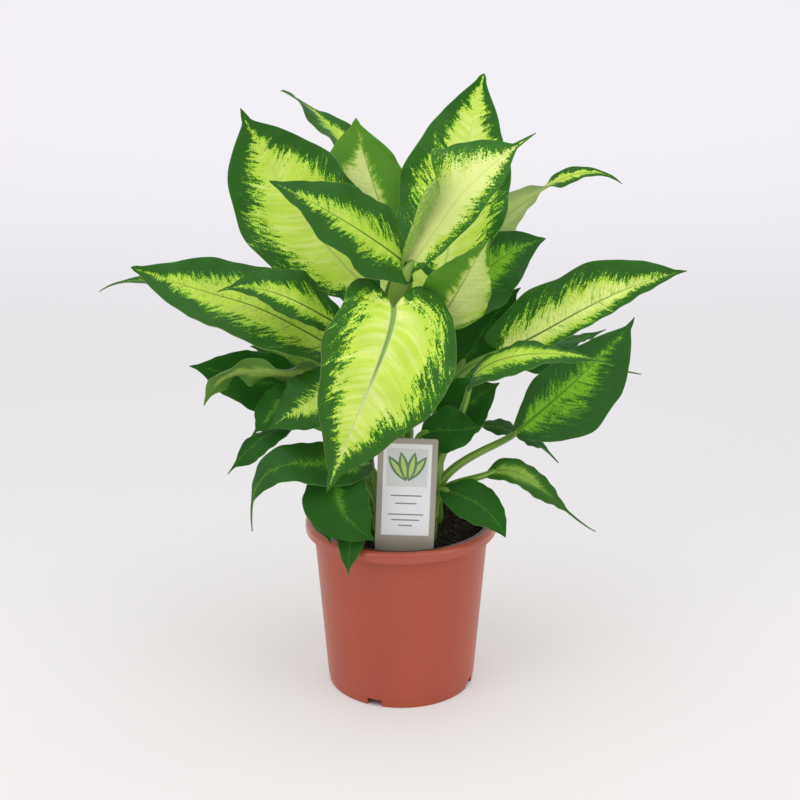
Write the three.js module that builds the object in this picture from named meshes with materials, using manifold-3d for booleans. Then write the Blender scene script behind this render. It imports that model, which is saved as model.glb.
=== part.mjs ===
// Potted dieffenbachia in a terracotta-coloured plastic nursery pot.
// Millimetres, +Z up. Origin: centre of the pot's foot, on the surface that it stands on.
// -Y is the front, where the plant label stands, and +X is to the right of it.
import * as THREE from 'three';
import { mergeVertices } from 'three/addons/utils/BufferGeometryUtils.js';
import Module from 'manifold-3d';

const wasm = await Module();
wasm.setup();

// Pot
const RIM_RADIUS = 85;
const POT_HEIGHT = 156;
const FOOT_RADIUS = 66;
const WALL = 2;
const WALL_TOP_RADIUS = 77.5;
const LIP_DROP = 10;
const LIP_ROUND = 4.5;
const MOUTH_ROUND = 1.6;
const SKIRT_ROUND = 1;
const FOOT_HEIGHT = 7.5;
const FOOT_STEP = 0.6;
const FLOOR_THICKNESS = 2;
const HUB_RADIUS = 24;
const HUB_DRAFT = 1.5;
const FOOT_RING = 2.6;
const POT_SIDES = 36;
const NOTCH_WIDTH = 13.6;
const NOTCH_HEIGHT = 6.5;
const NOTCH_COUNT = 4;
const FIRST_NOTCH_ANGLE = -21;
const DRAIN_RADIUS = 4.5;
const DRAIN_RING_RADIUS = 48;
const DRAIN_COUNT = 6;
const DRAIN_SIDES = 8;
const FLOOR_TOP = NOTCH_HEIGHT + FLOOR_THICKNESS;

// Soil
const SOIL_LEVEL = 143;
const SOIL_BUMP = 1.2;
const SOIL_RINGS = 4;
const SOIL_SECTORS = 28;

// Plant label
const LABEL_WIDTH = 50;
const LABEL_TOP_ABOVE_SOIL = 109;
const LABEL_POINT_DEPTH = 34;
const LABEL_THICKNESS = 0.9;
const LABEL_CORNER = 2;
const LABEL_CORNER_STEPS = 3;
const LABEL_CENTRE = [2.2, -65];
const LABEL_LEAN = 2;

// Clearance between neighbouring pieces
const GAP = 0.3;

// Canes: where each stands in the soil, its top, and its radius there and at the top
const CANE_FOOT_DEPTH = 45;
const CANE_SIDES = 8;
const CANE_STEPS = 5;
const CANE_TIP = 0.4;
const CANE_HIGHEST_STALK = 0.98;
const SHOOTS = {
  1: { foot: [-2, 5], top: [-5, -2, 318], radius: [8, 6] },
  2: { foot: [-30, 16], top: [-30, 20, 285], radius: [7.5, 5.5] },
  3: { foot: [30, 16], top: [34, 20, 290], radius: [7.5, 5.5] },
  4: { foot: [-36, -16], top: [-40, -18, 232], radius: [7, 5.5] },
  5: { foot: [22, -28], top: [28, -27, 196], radius: [7, 5.5] },
  6: { foot: [-16, -36], top: [-20, -38, 184], radius: [6, 5] },
  7: { foot: [4, 42], top: [6, 50, 255], radius: [7.5, 5.5] },
};

// Leaf stalks
const STALK_SIDES = 6;
const STALK_STEPS = 4;
const STALK_RADIUS = [4.4, 2.7];
const SHEATH_PEAK = 2;
const STALK_REACH = 4;
const STALK_RISE = 0.45;
const STALK_ARRIVAL = 0.35;

// Blades
const BLADE_THICKNESS = 1;
const KEEL_DEPTH = 1.8;
const KEEL_HALF_WIDTH = 3;
const KEEL_SHARE_LIMIT = 0.3;
const KEEL_FADE = 0.7;
const TIP_HALF_WIDTH = 0.8;
const DRIP_WIDTH = 0.075;
const LOBE_FADE = 5;
const OUTLINE_WAVE = 0.03;
const OUTLINE_WAVES = 3.7;
const OUTLINE_PHASE_STEP = 0.53;
const LEFT_OUTLINE_PHASE = 2.3;
const LEAF_PHASE_STEP = 0.37;
const LEFT_HALF_PHASE = 1.9;
const WAVE_FADE_WIDTH = 1.6;
const SECTION_STEPS = 16;
const ROW_LENGTH = 21;
const ROWS = [6, 10];
const NARROW_BLADE = 52;
const NARROW_COLUMN = 0.5;
const WIDE_COLUMN = 0.55;
const FOLD_COLUMNS = [0.5, 0.17, -0.17, -0.5];
const FLAP_FADE = 0.1;

// What a blade has where its own line below says nothing else.
// widest: share of the length where the blade is widest; shoulder: share of that width at the stalk;
// swell: how round the base is; full: how full the tip half is; drip: share taken by the thin tip;
// lobe: how far the base sweeps back; skew: how much wider one half is; fold, curl, roll: degrees;
// wave: height of the margin's waves; waves: their number.
// flap: a left half folded over from the stalk up to end, a share of the length, by an angle in degrees;
// at, span: where its fold lies and how wide that is, as shares of the half.
// arrive: the way a stalk comes in that doesn't follow the midrib; sheath: how far its rolled wings
// widen it below the blade.
const PLAIN_BLADE = {
  widest: 0.4,
  shoulder: 0.1,
  swell: 0.65,
  full: 1.8,
  drip: 0.1,
  lobe: 0.06,
  skew: 0,
  fold: 8,
  curl: 15,
  roll: 0,
  wave: 2,
  waves: 2.6,
};

// Leaves: midrib points from the stalk to the tip, greatest width, the way the upper side faces,
// the shoot that carries the leaf and the height where its stalk leaves the cane.
const LEAVES = [
  {
    name: 'leaf_01', shoot: 2, from: 262, width: 104, face: [-0.15, -0.85, 0.5],
    midrib: [[-30, 12, 362], [-72, 30, 404], [-109, 48, 454], [-137, 55, 508]],
    widest: 0.44, swell: 0.8, full: 2.5, drip: 0.1, fold: 6, curl: 4,
  },
  {
    name: 'leaf_02', shoot: 1, from: 296, width: 74, face: [-0.1, -0.8, 0.6],
    midrib: [[5.2, -10, 384.4], [-17.2, -34, 409], [-58.8, -52, 440], [-104.8, -55, 464.9]],
    widest: 0.364, shoulder: 0.08, swell: 0.65, full: 1.8, drip: 0.059, skew: 0.061, fold: 6,
    curl: 11.42, roll: 15.531, wave: 3, waves: 3.2,
  },
  {
    name: 'leaf_03', shoot: 2, from: 275, width: 56, face: [-0.1, -0.6, 0.8],
    midrib: [[-3.5, 48, 381.5], [-24.8, 90, 442.3], [-73.2, 122, 491.6], [-108.1, 130, 514]],
    widest: 0.36, full: 2.39, drip: 0.02, lobe: 0, skew: -0.26, fold: 14, roll: 19, rollTip: 50,
    wave: 5, waves: 2.2,
  },
  {
    name: 'leaf_04', shoot: 2, from: 270, width: 84, face: [0.1, -0.8, 0.5],
    midrib: [[1, 30, 380], [-15, 50, 417], [-31, 66, 462], [-39, 75, 497]],
    widest: 0.5, full: 2, drip: 0.06, skew: -0.28,
  },
  {
    name: 'leaf_05', shoot: 1, from: 300, width: 100, face: [0, -0.9, 0.35],
    midrib: [[35, 5, 377], [47, 40, 421], [58, 60, 478], [71, 65, 536]],
    widest: 0.38, full: 1.9, drip: 0.03, skew: -0.06, fold: 18, roll: -12, wave: 4,
  },
  {
    name: 'leaf_06', shoot: 1, from: 305, width: 68, face: [0, -0.9, 0.35],
    midrib: [[8.1, -24, 390.4], [31.8, -26, 425.2], [57.6, -24, 457], [110.1, -6, 495.7]],
    widest: 0.46, shoulder: 0.13, swell: 0.7, full: 2.1, drip: 0.24, skew: -0.34, fold: 6, curl: 20,
    roll: -14, sheath: 4, flap: { angle: 165, at: 0.58, span: 0.2, end: 0.5 },
  },
  {
    name: 'leaf_07', shoot: 3, from: 265, width: 41, face: [-0.2, 0.9, 0.2], faceTip: [0.1, -0.9, 0.6],
    midrib: [[72.8, 60, 392.6], [106.4, 72, 423.1], [152.7, 84, 445.8], [196.3, 90, 436.7]],
    widest: 0.22, full: 1.3, drip: 0.1,
  },
  {
    name: 'leaf_08', shoot: 3, from: 270, width: 64, face: [0.1, -0.8, 0.5],
    midrib: [[37, 18, 329], [64, 34, 362], [94, 44, 384], [126, 50, 396]],
    widest: 0.45, drip: 0.05,
  },
  {
    name: 'leaf_09', shoot: 5, from: 190, width: 58, face: [0.15, -0.9, 0.3],
    midrib: [[30.8, -22, 343.7], [44.6, -31, 364.9], [56.1, -43, 389.8], [71.3, -53, 417.7]],
    widest: 0.34, shoulder: 0.2, full: 1.5, drip: 0.06, skew: -0.02, fold: 16, curl: 20,
  },
  {
    name: 'leaf_10', shoot: 3, from: 240, width: 58, face: [-0.2, -0.55, 0.8],
    midrib: [[85.9, 14, 303.5], [128.4, 12, 325.6], [179.3, 8, 355.1], [241.4, 0, 378.8]],
    widest: 0.3, shoulder: 0.4, full: 2.8, drip: 0.06, skew: -0.26, fold: 22, curl: 4, roll: 14,
  },
  {
    name: 'leaf_11', shoot: 5, from: 186, width: 52, face: [-0.3, -0.2, 0.95], faceTip: [0, -0.25, 1],
    midrib: [[57, -34, 285], [77, -46, 312], [122, -54, 322], [175, -56, 312]],
    widest: 0.3, shoulder: 0.05, full: 1.5, drip: 0.15, lobe: 0, skew: 0.1, fold: 5,
  },
  {
    name: 'leaf_12', shoot: 5, from: 176, width: 67, face: [0.2, -0.85, 0.45],
    midrib: [[97.6, -22, 241.1], [120.1, -22, 261.9], [164.8, -12, 301.2], [199, 0, 338.6]],
    widest: 0.37, shoulder: 0.1, swell: 1, full: 2.2, drip: 0.1, lobe: 0, skew: 0.24, fold: 12,
    roll: -4,
  },
  {
    name: 'leaf_13', shoot: 3, from: 225, width: 50, face: [0, 0, 1],
    midrib: [[89, 60, 290], [126, 75, 292], [160, 90, 293], [189, 100, 300]],
  },
  {
    name: 'leaf_14', shoot: 3, from: 215, width: 36, face: [0, -0.1, 1],
    midrib: [[72, 30, 275], [115, 45, 283], [170, 55, 278], [217, 60, 269]],
  },
  {
    name: 'leaf_15', shoot: 3, from: 190, width: 38, face: [0.1, 0, 1],
    midrib: [[66, 12, 237], [91, 10, 235], [116, 8, 224], [139, 5, 204]],
  },
  {
    name: 'leaf_16', shoot: 5, from: 184, width: 52, face: [0, -0.7, 0.7],
    midrib: [[38, -10, 245], [51, -14, 260], [67, -16, 273], [84, -16, 285]],
  },
  {
    name: 'leaf_17', shoot: 5, from: 180, width: 42, face: [0, -0.75, 0.6],
    midrib: [[20, -36, 247], [37, -42, 251], [53, -46, 253], [68, -48, 257]],
  },
  {
    name: 'leaf_18', shoot: 5, from: 168, width: 38, face: [0.1, -0.7, 0.7],
    midrib: [[38, -45, 198], [55, -55, 195], [73, -62, 185], [88, -70, 165]],
    drip: 0.03, wave: 1,
  },
  {
    name: 'leaf_19', shoot: 5, from: 170, width: 36, face: [0.2, -0.3, 0.9],
    midrib: [[78, -40, 212], [106, -45, 210], [135, -50, 187], [166, -55, 164]],
    widest: 0.24, drip: 0.35, wave: 1,
  },
  {
    name: 'leaf_20', shoot: 1, from: 280, width: 110.3, face: [-0.05, -0.85, 0.5],
    midrib: [[-6.4, -60, 361.9], [-13.2, -88, 336.9], [-33.3, -106, 289.8], [-60.7, -102, 218.6]],
    widest: 0.338, shoulder: 0.4, swell: 0.4, full: 1.3, drip: 0.121, lobe: 0.18, skew: -0.11, fold: 6,
    curl: 8, roll: -20.99, arrive: [-0.05, -0.5, 0.85],
  },
  {
    name: 'leaf_21', shoot: 4, from: 222, width: 84, face: [0.15, -0.65, 0.75],
    midrib: [[-49.2, -20, 311.9], [-113.3, -26, 350.4], [-152.2, -18, 361.7], [-226.3, -10, 384.5]],
    widest: 0.268, shoulder: 0.104, full: 2.4, drip: 0.03, skew: -0.015, fold: 12, curl: 4,
    roll: 20.882, rollTip: -14.769, wave: 2,
  },
  {
    name: 'leaf_22', shoot: 2, from: 245, width: 56, face: [0, -0.2, 1],
    midrib: [[-64, 60, 311], [-127, 70, 331], [-206, 65, 353], [-268, 60, 346]],
    drip: 0.15,
  },
  {
    name: 'leaf_23', shoot: 1, from: 262, width: 50, face: [0.1, -0.6, 0.8],
    midrib: [[-49, -38, 340], [-79, -52, 362], [-113, -57, 377], [-149, -57, 375]],
    drip: 0.15, skew: 0.25,
  },
  {
    name: 'leaf_24', shoot: 4, from: 205, width: 56, face: [0, -0.75, 0.65],
    midrib: [[-79, 0, 275], [-113, -5, 281], [-147, -10, 291], [-181, -10, 298]],
    drip: 0.08,
  },
  {
    name: 'leaf_25', shoot: 2, from: 230, width: 46, face: [0, -0.6, 0.8],
    midrib: [[-67, 20, 285], [-89, 32, 291], [-112, 40, 296], [-134, 44, 300]],
  },
  {
    name: 'leaf_26', shoot: 4, from: 215, width: 52, face: [0.1, 0.6, 0.8],
    midrib: [[-68, -12, 299], [-102, -34, 298], [-136, -46, 303], [-165, -48, 275]],
    wave: 5, waves: 3,
  },
  {
    name: 'leaf_27', shoot: 4, from: 210, width: 34, face: [0.2, -0.7, 0.7],
    midrib: [[-85, -38, 282], [-98, -46, 277], [-111, -50, 266], [-126, -50, 248]],
    drip: 0.2,
  },
  {
    name: 'leaf_28', shoot: 1, from: 240, width: 54, face: [-0.1, -0.7, 0.7],
    midrib: [[-46, -54, 303], [-67, -64, 290], [-88, -70, 277], [-110, -70, 261]],
  },
  {
    name: 'leaf_29', shoot: 4, from: 190, width: 30, face: [0, -0.1, 1],
    midrib: [[-71.1, -22, 247.1], [-103.5, -35, 250], [-128.3, -40, 234.7], [-148.1, -40, 210.6]],
    widest: 0.62, full: 1.3, drip: 0.22, skew: -0.35, roll: 36, rollTip: -50,
  },
  {
    name: 'leaf_30', shoot: 6, from: 174, width: 46, face: [0, -0.5, 0.85], faceTip: [-0.8, -0.5, 0.3],
    midrib: [[-32, -56, 225], [-66, -80, 235], [-107, -90, 232], [-124, -85, 177]],
    widest: 0.3, drip: 0.25,
  },
  {
    name: 'leaf_31', shoot: 6, from: 170, width: 56, face: [-0.1, -0.9, 0.4],
    midrib: [[-55, -58, 224], [-55, -84, 212], [-46, -90, 193], [-22, -76, 164.3]],
    widest: 0.42, full: 1.5,
  },
  {
    name: 'leaf_32', shoot: 6, from: 160, width: 26, face: [0, -0.9, 0.4],
    midrib: [[-39, -48, 185], [-40, -62, 174], [-43, -80, 161], [-44, -92, 140]],
  },
  {
    name: 'leaf_33', shoot: 4, from: 172, width: 30, face: [0, -0.9, 0.4],
    midrib: [[-68, -40, 198], [-66, -55, 188], [-63, -66, 175], [-60, -72, 160]],
  },
  {
    name: 'leaf_34', shoot: 3, from: 235, width: 58, face: [0.2, -0.8, 0.5],
    midrib: [[54, 34, 288], [72, 44, 311], [88, 52, 333], [106, 58, 350]],
  },
  {
    name: 'leaf_35', shoot: 7, from: 240, width: 84, face: [0.1, 0.2, 1],
    midrib: [[12, 72, 318], [30, 112, 345], [48, 155, 350], [62, 200, 332]],
  },
  {
    name: 'leaf_36', shoot: 7, from: 232, width: 80, face: [-0.1, 0.2, 1],
    midrib: [[-8, 74, 310], [-24, 112, 334], [-42, 156, 334], [-60, 200, 308]],
  },
  {
    name: 'leaf_37', shoot: 7, from: 195, width: 66, face: [0, 0.3, 1],
    midrib: [[4, 76, 240], [3, 112, 256], [1, 150, 250], [-2, 190, 222]],
  },
  {
    name: 'leaf_38', shoot: 2, from: 215, width: 66, face: [-0.2, 0.2, 1],
    midrib: [[-46, 44, 262], [-68, 82, 282], [-90, 124, 282], [-112, 166, 262]],
  },
  {
    name: 'leaf_39', shoot: 3, from: 200, width: 60, face: [0.2, 0.3, 1],
    midrib: [[46, 48, 250], [58, 86, 272], [66, 128, 274], [72, 168, 256]],
  },
];

// Materials
function plainMaterial(color, roughness) {
  return new THREE.MeshStandardMaterial({ color, roughness, metalness: 0 });
}

const TERRACOTTA = plainMaterial(0xac5842, 0.45);
const SOIL_DARK = plainMaterial(0x231a15, 0.95);
const LABEL_TAUPE = plainMaterial(0x8a7f74, 0.35);
const STALK_GREEN = plainMaterial(0x8fae3c, 0.45);
const LEAF_GREEN = plainMaterial(0x3f7d2e, 0.35);

// Helpers
function degrees(angle) {
  return THREE.MathUtils.degToRad(angle);
}

function vector(values) {
  return new THREE.Vector3(...values);
}

function toSolid(geometry) {
  const bare = geometry.clone();
  bare.deleteAttribute('normal');
  bare.deleteAttribute('uv');
  const merged = mergeVertices(bare, 1e-4);
  const mesh = new wasm.Mesh({
    numProp: 3,
    vertProperties: new Float32Array(merged.attributes.position.array),
    triVerts: new Uint32Array(merged.index.array),
  });
  return new wasm.Manifold(mesh);
}

function toGeometry(solid) {
  const mesh = solid.getMesh();
  const geometry = new THREE.BufferGeometry();
  geometry.setAttribute('position', new THREE.BufferAttribute(new Float32Array(mesh.vertProperties), 3));
  geometry.setIndex(new THREE.BufferAttribute(new Uint32Array(mesh.triVerts), 1));
  geometry.computeVertexNormals();
  return geometry;
}

function largestBody(solid) {
  const bodies = solid.decompose();
  return bodies.reduce((best, body) => (body.volume() > best.volume() ? body : best));
}

function closedGrid(rows, closeStart, closeEnd) {
  // Rings of equal length become one closed skin with a fan at each end.
  const sides = rows[0].length;
  const points = rows.flat();
  const index = [];
  for (let i = 0; i < rows.length - 1; i += 1) {
    for (let j = 0; j < sides; j += 1) {
      const next = (j + 1) % sides;
      const a = i * sides + j;
      const b = i * sides + next;
      index.push(a, b, b + sides, a, b + sides, a + sides);
    }
  }
  points.push(closeStart, closeEnd);
  const start = points.length - 2;
  const end = points.length - 1;
  const last = (rows.length - 1) * sides;
  for (let j = 0; j < sides; j += 1) {
    const next = (j + 1) % sides;
    index.push(start, next, j);
    index.push(end, last + j, last + next);
  }
  const geometry = new THREE.BufferGeometry();
  geometry.setAttribute('position', new THREE.Float32BufferAttribute(points.flatMap((p) => p.toArray()), 3));
  geometry.setIndex(index);
  return geometry;
}

function taperedTube(curve, steps, sides, radiusAt) {
  const frames = curve.computeFrenetFrames(steps, false);
  const rows = [];
  for (let i = 0; i <= steps; i += 1) {
    const centre = curve.getPointAt(i / steps);
    const radius = radiusAt(i / steps);
    const ring = [];
    for (let j = 0; j < sides; j += 1) {
      const turn = (2 * Math.PI * j) / sides;
      ring.push(centre.clone()
        .addScaledVector(frames.normals[i], radius * Math.cos(turn))
        .addScaledVector(frames.binormals[i], radius * Math.sin(turn)));
    }
    rows.push(ring);
  }
  return closedGrid(rows, curve.getPointAt(0), curve.getPointAt(1));
}

// Pot: thin turned wall with a rolled lip, a floor raised on a foot ring and a flat hub in the middle,
// drain holes in the floor and notches in the foot ring
function potWallRadius(z) {
  return THREE.MathUtils.mapLinear(z, 0, POT_HEIGHT - LIP_DROP, FOOT_RADIUS, WALL_TOP_RADIUS);
}

function arcPoints(centreRadius, centreZ, radius, from, to, steps) {
  const points = [];
  for (let i = 0; i <= steps; i += 1) {
    const turn = degrees(from + ((to - from) * i) / steps);
    points.push([centreRadius + radius * Math.cos(turn), centreZ + radius * Math.sin(turn)]);
  }
  return points;
}

function potSolid() {
  const lipFoot = POT_HEIGHT - LIP_DROP;
  const skirt = RIM_RADIUS - WALL;
  const innerTop = potWallRadius(POT_HEIGHT) - WALL;
  const profile = [
    [0, 0],
    [HUB_RADIUS, 0],
    [HUB_RADIUS + HUB_DRAFT, NOTCH_HEIGHT],
    [FOOT_RADIUS - FOOT_RING, NOTCH_HEIGHT],
    [FOOT_RADIUS - FOOT_RING, 0],
    [FOOT_RADIUS - FOOT_STEP, 0],
    [potWallRadius(FOOT_HEIGHT) - FOOT_STEP, FOOT_HEIGHT - FOOT_STEP],
    [potWallRadius(FOOT_HEIGHT), FOOT_HEIGHT],
    [WALL_TOP_RADIUS, lipFoot],
    [potWallRadius(POT_HEIGHT), POT_HEIGHT - 1.5 * WALL],
    [skirt, POT_HEIGHT - 2 * WALL],
    [skirt, lipFoot],
    ...arcPoints(RIM_RADIUS - SKIRT_ROUND, lipFoot + SKIRT_ROUND, SKIRT_ROUND, -90, 0, 1),
    ...arcPoints(RIM_RADIUS - LIP_ROUND, POT_HEIGHT - LIP_ROUND, LIP_ROUND, 0, 90, 3),
    ...arcPoints(innerTop + MOUTH_ROUND, POT_HEIGHT - MOUTH_ROUND, MOUTH_ROUND, 90, 180, 1),
    [potWallRadius(FLOOR_TOP) - WALL, FLOOR_TOP],
    [HUB_RADIUS + HUB_DRAFT - WALL, FLOOR_TOP],
    [HUB_RADIUS - WALL, FLOOR_THICKNESS],
    [0, FLOOR_THICKNESS],
  ].map(([r, z]) => new THREE.Vector2(r, z));
  const turned = new THREE.LatheGeometry(profile, POT_SIDES);
  turned.rotateX(Math.PI / 2);
  let pot = toSolid(turned);
  for (let i = 0; i < NOTCH_COUNT; i += 1) {
    const notch = new THREE.BoxGeometry(NOTCH_WIDTH, 4 * WALL, 2 * NOTCH_HEIGHT);
    notch.translate(0, -FOOT_RADIUS, 0);
    notch.rotateZ(degrees(FIRST_NOTCH_ANGLE + (360 * i) / NOTCH_COUNT));
    pot = pot.subtract(toSolid(notch));
  }
  for (let i = 0; i < DRAIN_COUNT; i += 1) {
    const drain = new THREE.CylinderGeometry(DRAIN_RADIUS, DRAIN_RADIUS, 4 * FLOOR_THICKNESS, DRAIN_SIDES);
    drain.rotateX(Math.PI / 2);
    drain.translate(DRAIN_RING_RADIUS, 0, FLOOR_TOP);
    drain.rotateZ((2 * Math.PI * i) / DRAIN_COUNT);
    pot = pot.subtract(toSolid(drain));
  }
  return pot;
}

// Soil: fills the pot and is a little uneven on top
function soilHeight(x, y) {
  const swell = Math.sin(0.13 * x + 1.1) * Math.cos(0.11 * y) + 0.5 * Math.sin(0.23 * (x - y));
  return SOIL_LEVEL + SOIL_BUMP * swell;
}

function soilSolid() {
  const fit = GAP / Math.cos(Math.PI / POT_SIDES) + RIM_RADIUS * (1 - Math.cos(Math.PI / POT_SIDES));
  const rimRadius = potWallRadius(SOIL_LEVEL) - WALL - fit;
  const floorZ = FLOOR_TOP + GAP;
  const floorRadius = potWallRadius(floorZ) - WALL - fit;
  const rows = [];
  const ringAt = (radius, height) => {
    const ring = [];
    for (let j = 0; j < SOIL_SECTORS; j += 1) {
      const turn = (2 * Math.PI * j) / SOIL_SECTORS;
      const x = radius * Math.cos(turn);
      const y = radius * Math.sin(turn);
      ring.push(new THREE.Vector3(x, y, height === null ? soilHeight(x, y) : height));
    }
    return ring;
  };
  rows.push(ringAt(HUB_RADIUS - WALL - fit, FLOOR_THICKNESS + GAP));
  rows.push(ringAt(HUB_RADIUS + HUB_DRAFT - WALL - fit, floorZ));
  rows.push(ringAt(floorRadius, floorZ));
  for (let i = SOIL_RINGS; i > 0; i -= 1) {
    rows.push(ringAt((rimRadius * i) / SOIL_RINGS, null));
  }
  const bottom = new THREE.Vector3(0, 0, FLOOR_THICKNESS + GAP);
  const top = new THREE.Vector3(0, 0, soilHeight(0, 0));
  return toSolid(closedGrid(rows, bottom, top));
}

// Label: a card with a pointed foot, pushed into the soil at the front
function labelGeometry(clearance) {
  const half = LABEL_WIDTH / 2 + clearance;
  const top = LABEL_TOP_ABOVE_SOIL + clearance;
  const point = -LABEL_POINT_DEPTH - clearance;
  const outline = new THREE.Shape();
  outline.moveTo(0, point);
  outline.lineTo(half, -LABEL_CORNER);
  outline.lineTo(half, top - LABEL_CORNER);
  outline.absarc(half - LABEL_CORNER, top - LABEL_CORNER, LABEL_CORNER, 0, Math.PI / 2, false);
  outline.lineTo(LABEL_CORNER - half, top);
  outline.absarc(LABEL_CORNER - half, top - LABEL_CORNER, LABEL_CORNER, Math.PI / 2, Math.PI, false);
  outline.lineTo(-half, -LABEL_CORNER);
  const depth = LABEL_THICKNESS + 2 * clearance;
  const options = { depth, bevelEnabled: false, curveSegments: LABEL_CORNER_STEPS };
  const card = new THREE.ExtrudeGeometry(outline, options);
  card.translate(0, 0, -depth / 2);
  card.rotateX(Math.PI / 2);
  card.rotateY(degrees(LABEL_LEAN));
  card.translate(LABEL_CENTRE[0], LABEL_CENTRE[1], SOIL_LEVEL);
  return card;
}

// Canes and stalks
function caneCurve(shoot) {
  const foot = new THREE.Vector3(...shoot.foot, SOIL_LEVEL - CANE_FOOT_DEPTH);
  return new THREE.LineCurve3(foot, vector(shoot.top));
}

function caneGeometry(shoot, clearance) {
  const [low, high] = shoot.radius;
  const curve = caneCurve(shoot);
  curve.v1.z -= clearance;
  const radiusAt = (t) => (t < 1 ? low + (high - low) * t : CANE_TIP * high);
  return taperedTube(curve, CANE_STEPS, CANE_SIDES, (t) => radiusAt(t) + clearance);
}

function stalkCurve(leaf) {
  const cane = caneCurve(SHOOTS[leaf.shoot]);
  const share = (leaf.from - cane.v1.z) / (cane.v2.z - cane.v1.z);
  const start = cane.getPointAt(THREE.MathUtils.clamp(share, 0, CANE_HIGHEST_STALK));
  const midrib = midribCurve(leaf);
  const base = midrib.getPoint(0);
  const forward = leaf.arrive ? vector(leaf.arrive).normalize() : midrib.getTangent(0);
  const span = start.distanceTo(base);
  const up = cane.getTangent(0);
  const rise = start.clone().addScaledVector(up, STALK_RISE * span);
  const arrive = base.clone().addScaledVector(forward, -STALK_ARRIVAL * span);
  const end = base.clone().addScaledVector(forward, leaf.arrive ? 0 : STALK_REACH);
  return new THREE.CubicBezierCurve3(start, rise, arrive, end);
}

function stalkGeometry(leaf, clearance) {
  const [low, high] = STALK_RADIUS;
  const curve = stalkCurve(leaf);
  curve.v3.addScaledVector(curve.getTangent(1), clearance);
  const wings = (t) => (leaf.sheath ?? 0) * Math.sin(Math.PI * t ** SHEATH_PEAK);
  const radiusAt = (t) => low + (high - low) * t + wings(t);
  return taperedTube(curve, STALK_STEPS, STALK_SIDES, (t) => radiusAt(t) + clearance);
}

function shootSolid(number, clearance) {
  let solid = toSolid(caneGeometry(SHOOTS[number], clearance));
  for (const leaf of LEAVES.filter((one) => one.shoot === number)) {
    solid = solid.add(toSolid(stalkGeometry(leaf, clearance)));
  }
  return solid;
}

// Blades
function midribCurve(leaf) {
  const [p0, p1, p2, p3] = leaf.midrib.map(vector);
  const first = p0.clone().multiplyScalar(-5).addScaledVector(p1, 18).addScaledVector(p2, -9);
  first.addScaledVector(p3, 2).divideScalar(6);
  const second = p0.clone().multiplyScalar(2).addScaledVector(p1, -9).addScaledVector(p2, 18);
  second.addScaledVector(p3, -5).divideScalar(6);
  return new THREE.CubicBezierCurve3(p0, first, second, p3);
}

function widthShare(form, u) {
  if (u < form.widest) {
    const rise = Math.sin((0.5 * Math.PI * Math.max(u, 0)) / form.widest) ** form.swell;
    return form.shoulder + (1 - form.shoulder) * rise;
  }
  const past = (u - form.widest) / (1 - form.widest);
  const body = 1 - Math.min(past / (1 - form.drip), 1) ** form.full;
  const thread = DRIP_WIDTH * Math.min((1 - past) / form.drip, 1) ** 0.8 * Math.min(2 * past, 1);
  return Math.hypot(body, thread);
}

function bladeFrame(leaf, form, curve, u) {
  const along = THREE.MathUtils.clamp(u, 0, 1);
  const tangent = curve.getTangentAt(along);
  const centre = curve.getPointAt(along).addScaledVector(tangent, (u - along) * curve.getLength());
  const face = vector(leaf.face).normalize();
  if (leaf.faceTip) {
    face.lerp(vector(leaf.faceTip).normalize(), along);
  }
  const up = face.addScaledVector(tangent, -face.dot(tangent)).normalize();
  const side = tangent.clone().cross(up);
  const rollTip = leaf.rollTip ?? form.roll;
  const roll = degrees(form.roll + (rollTip - form.roll) * along);
  const turnedUp = up.clone().multiplyScalar(Math.cos(roll)).addScaledVector(side, Math.sin(roll));
  const turnedSide = side.multiplyScalar(Math.cos(roll)).addScaledVector(up, -Math.sin(roll));
  return { centre, up: turnedUp, side: turnedSide };
}

function flapAngle(form, hand, u, spot) {
  // Angle by which a folded left half has turned over at a place.
  if (!form.flap || hand > 0) {
    return 0;
  }
  const { angle, at, span, end } = form.flap;
  const along = 1 - THREE.MathUtils.smoothstep(u, end - FLAP_FADE, end + FLAP_FADE);
  return degrees(angle) * along * THREE.MathUtils.smoothstep(spot, at - span / 2, at + span / 2);
}

function halfSection(form, hand, u, spot, out, half) {
  // Follows the half blade's bent section from the midrib out to a place.
  const angleAt = (share) => degrees(form.fold) - (degrees(form.curl) * share * out) / half
    + flapAngle(form, hand, u, share * spot);
  let lateral = 0;
  let rise = 0;
  for (let i = 0; i < SECTION_STEPS; i += 1) {
    const angle = angleAt((i + 0.5) / SECTION_STEPS);
    lateral += (out * Math.cos(angle)) / SECTION_STEPS;
    rise += (out * Math.sin(angle)) / SECTION_STEPS;
  }
  return { lateral, rise, slope: angleAt(1) };
}

function bladeColumns(leaf, keel) {
  if (leaf.flap) {
    const { at, span } = leaf.flap;
    const fold = FOLD_COLUMNS.map((share) => -(at + span * share));
    return [-1, ...fold, -keel, 0, keel, WIDE_COLUMN, 1];
  }
  return leaf.width < NARROW_BLADE
    ? [-1, -NARROW_COLUMN, 0, NARROW_COLUMN, 1]
    : [-1, -WIDE_COLUMN, -keel, 0, keel, WIDE_COLUMN, 1];
}

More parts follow.
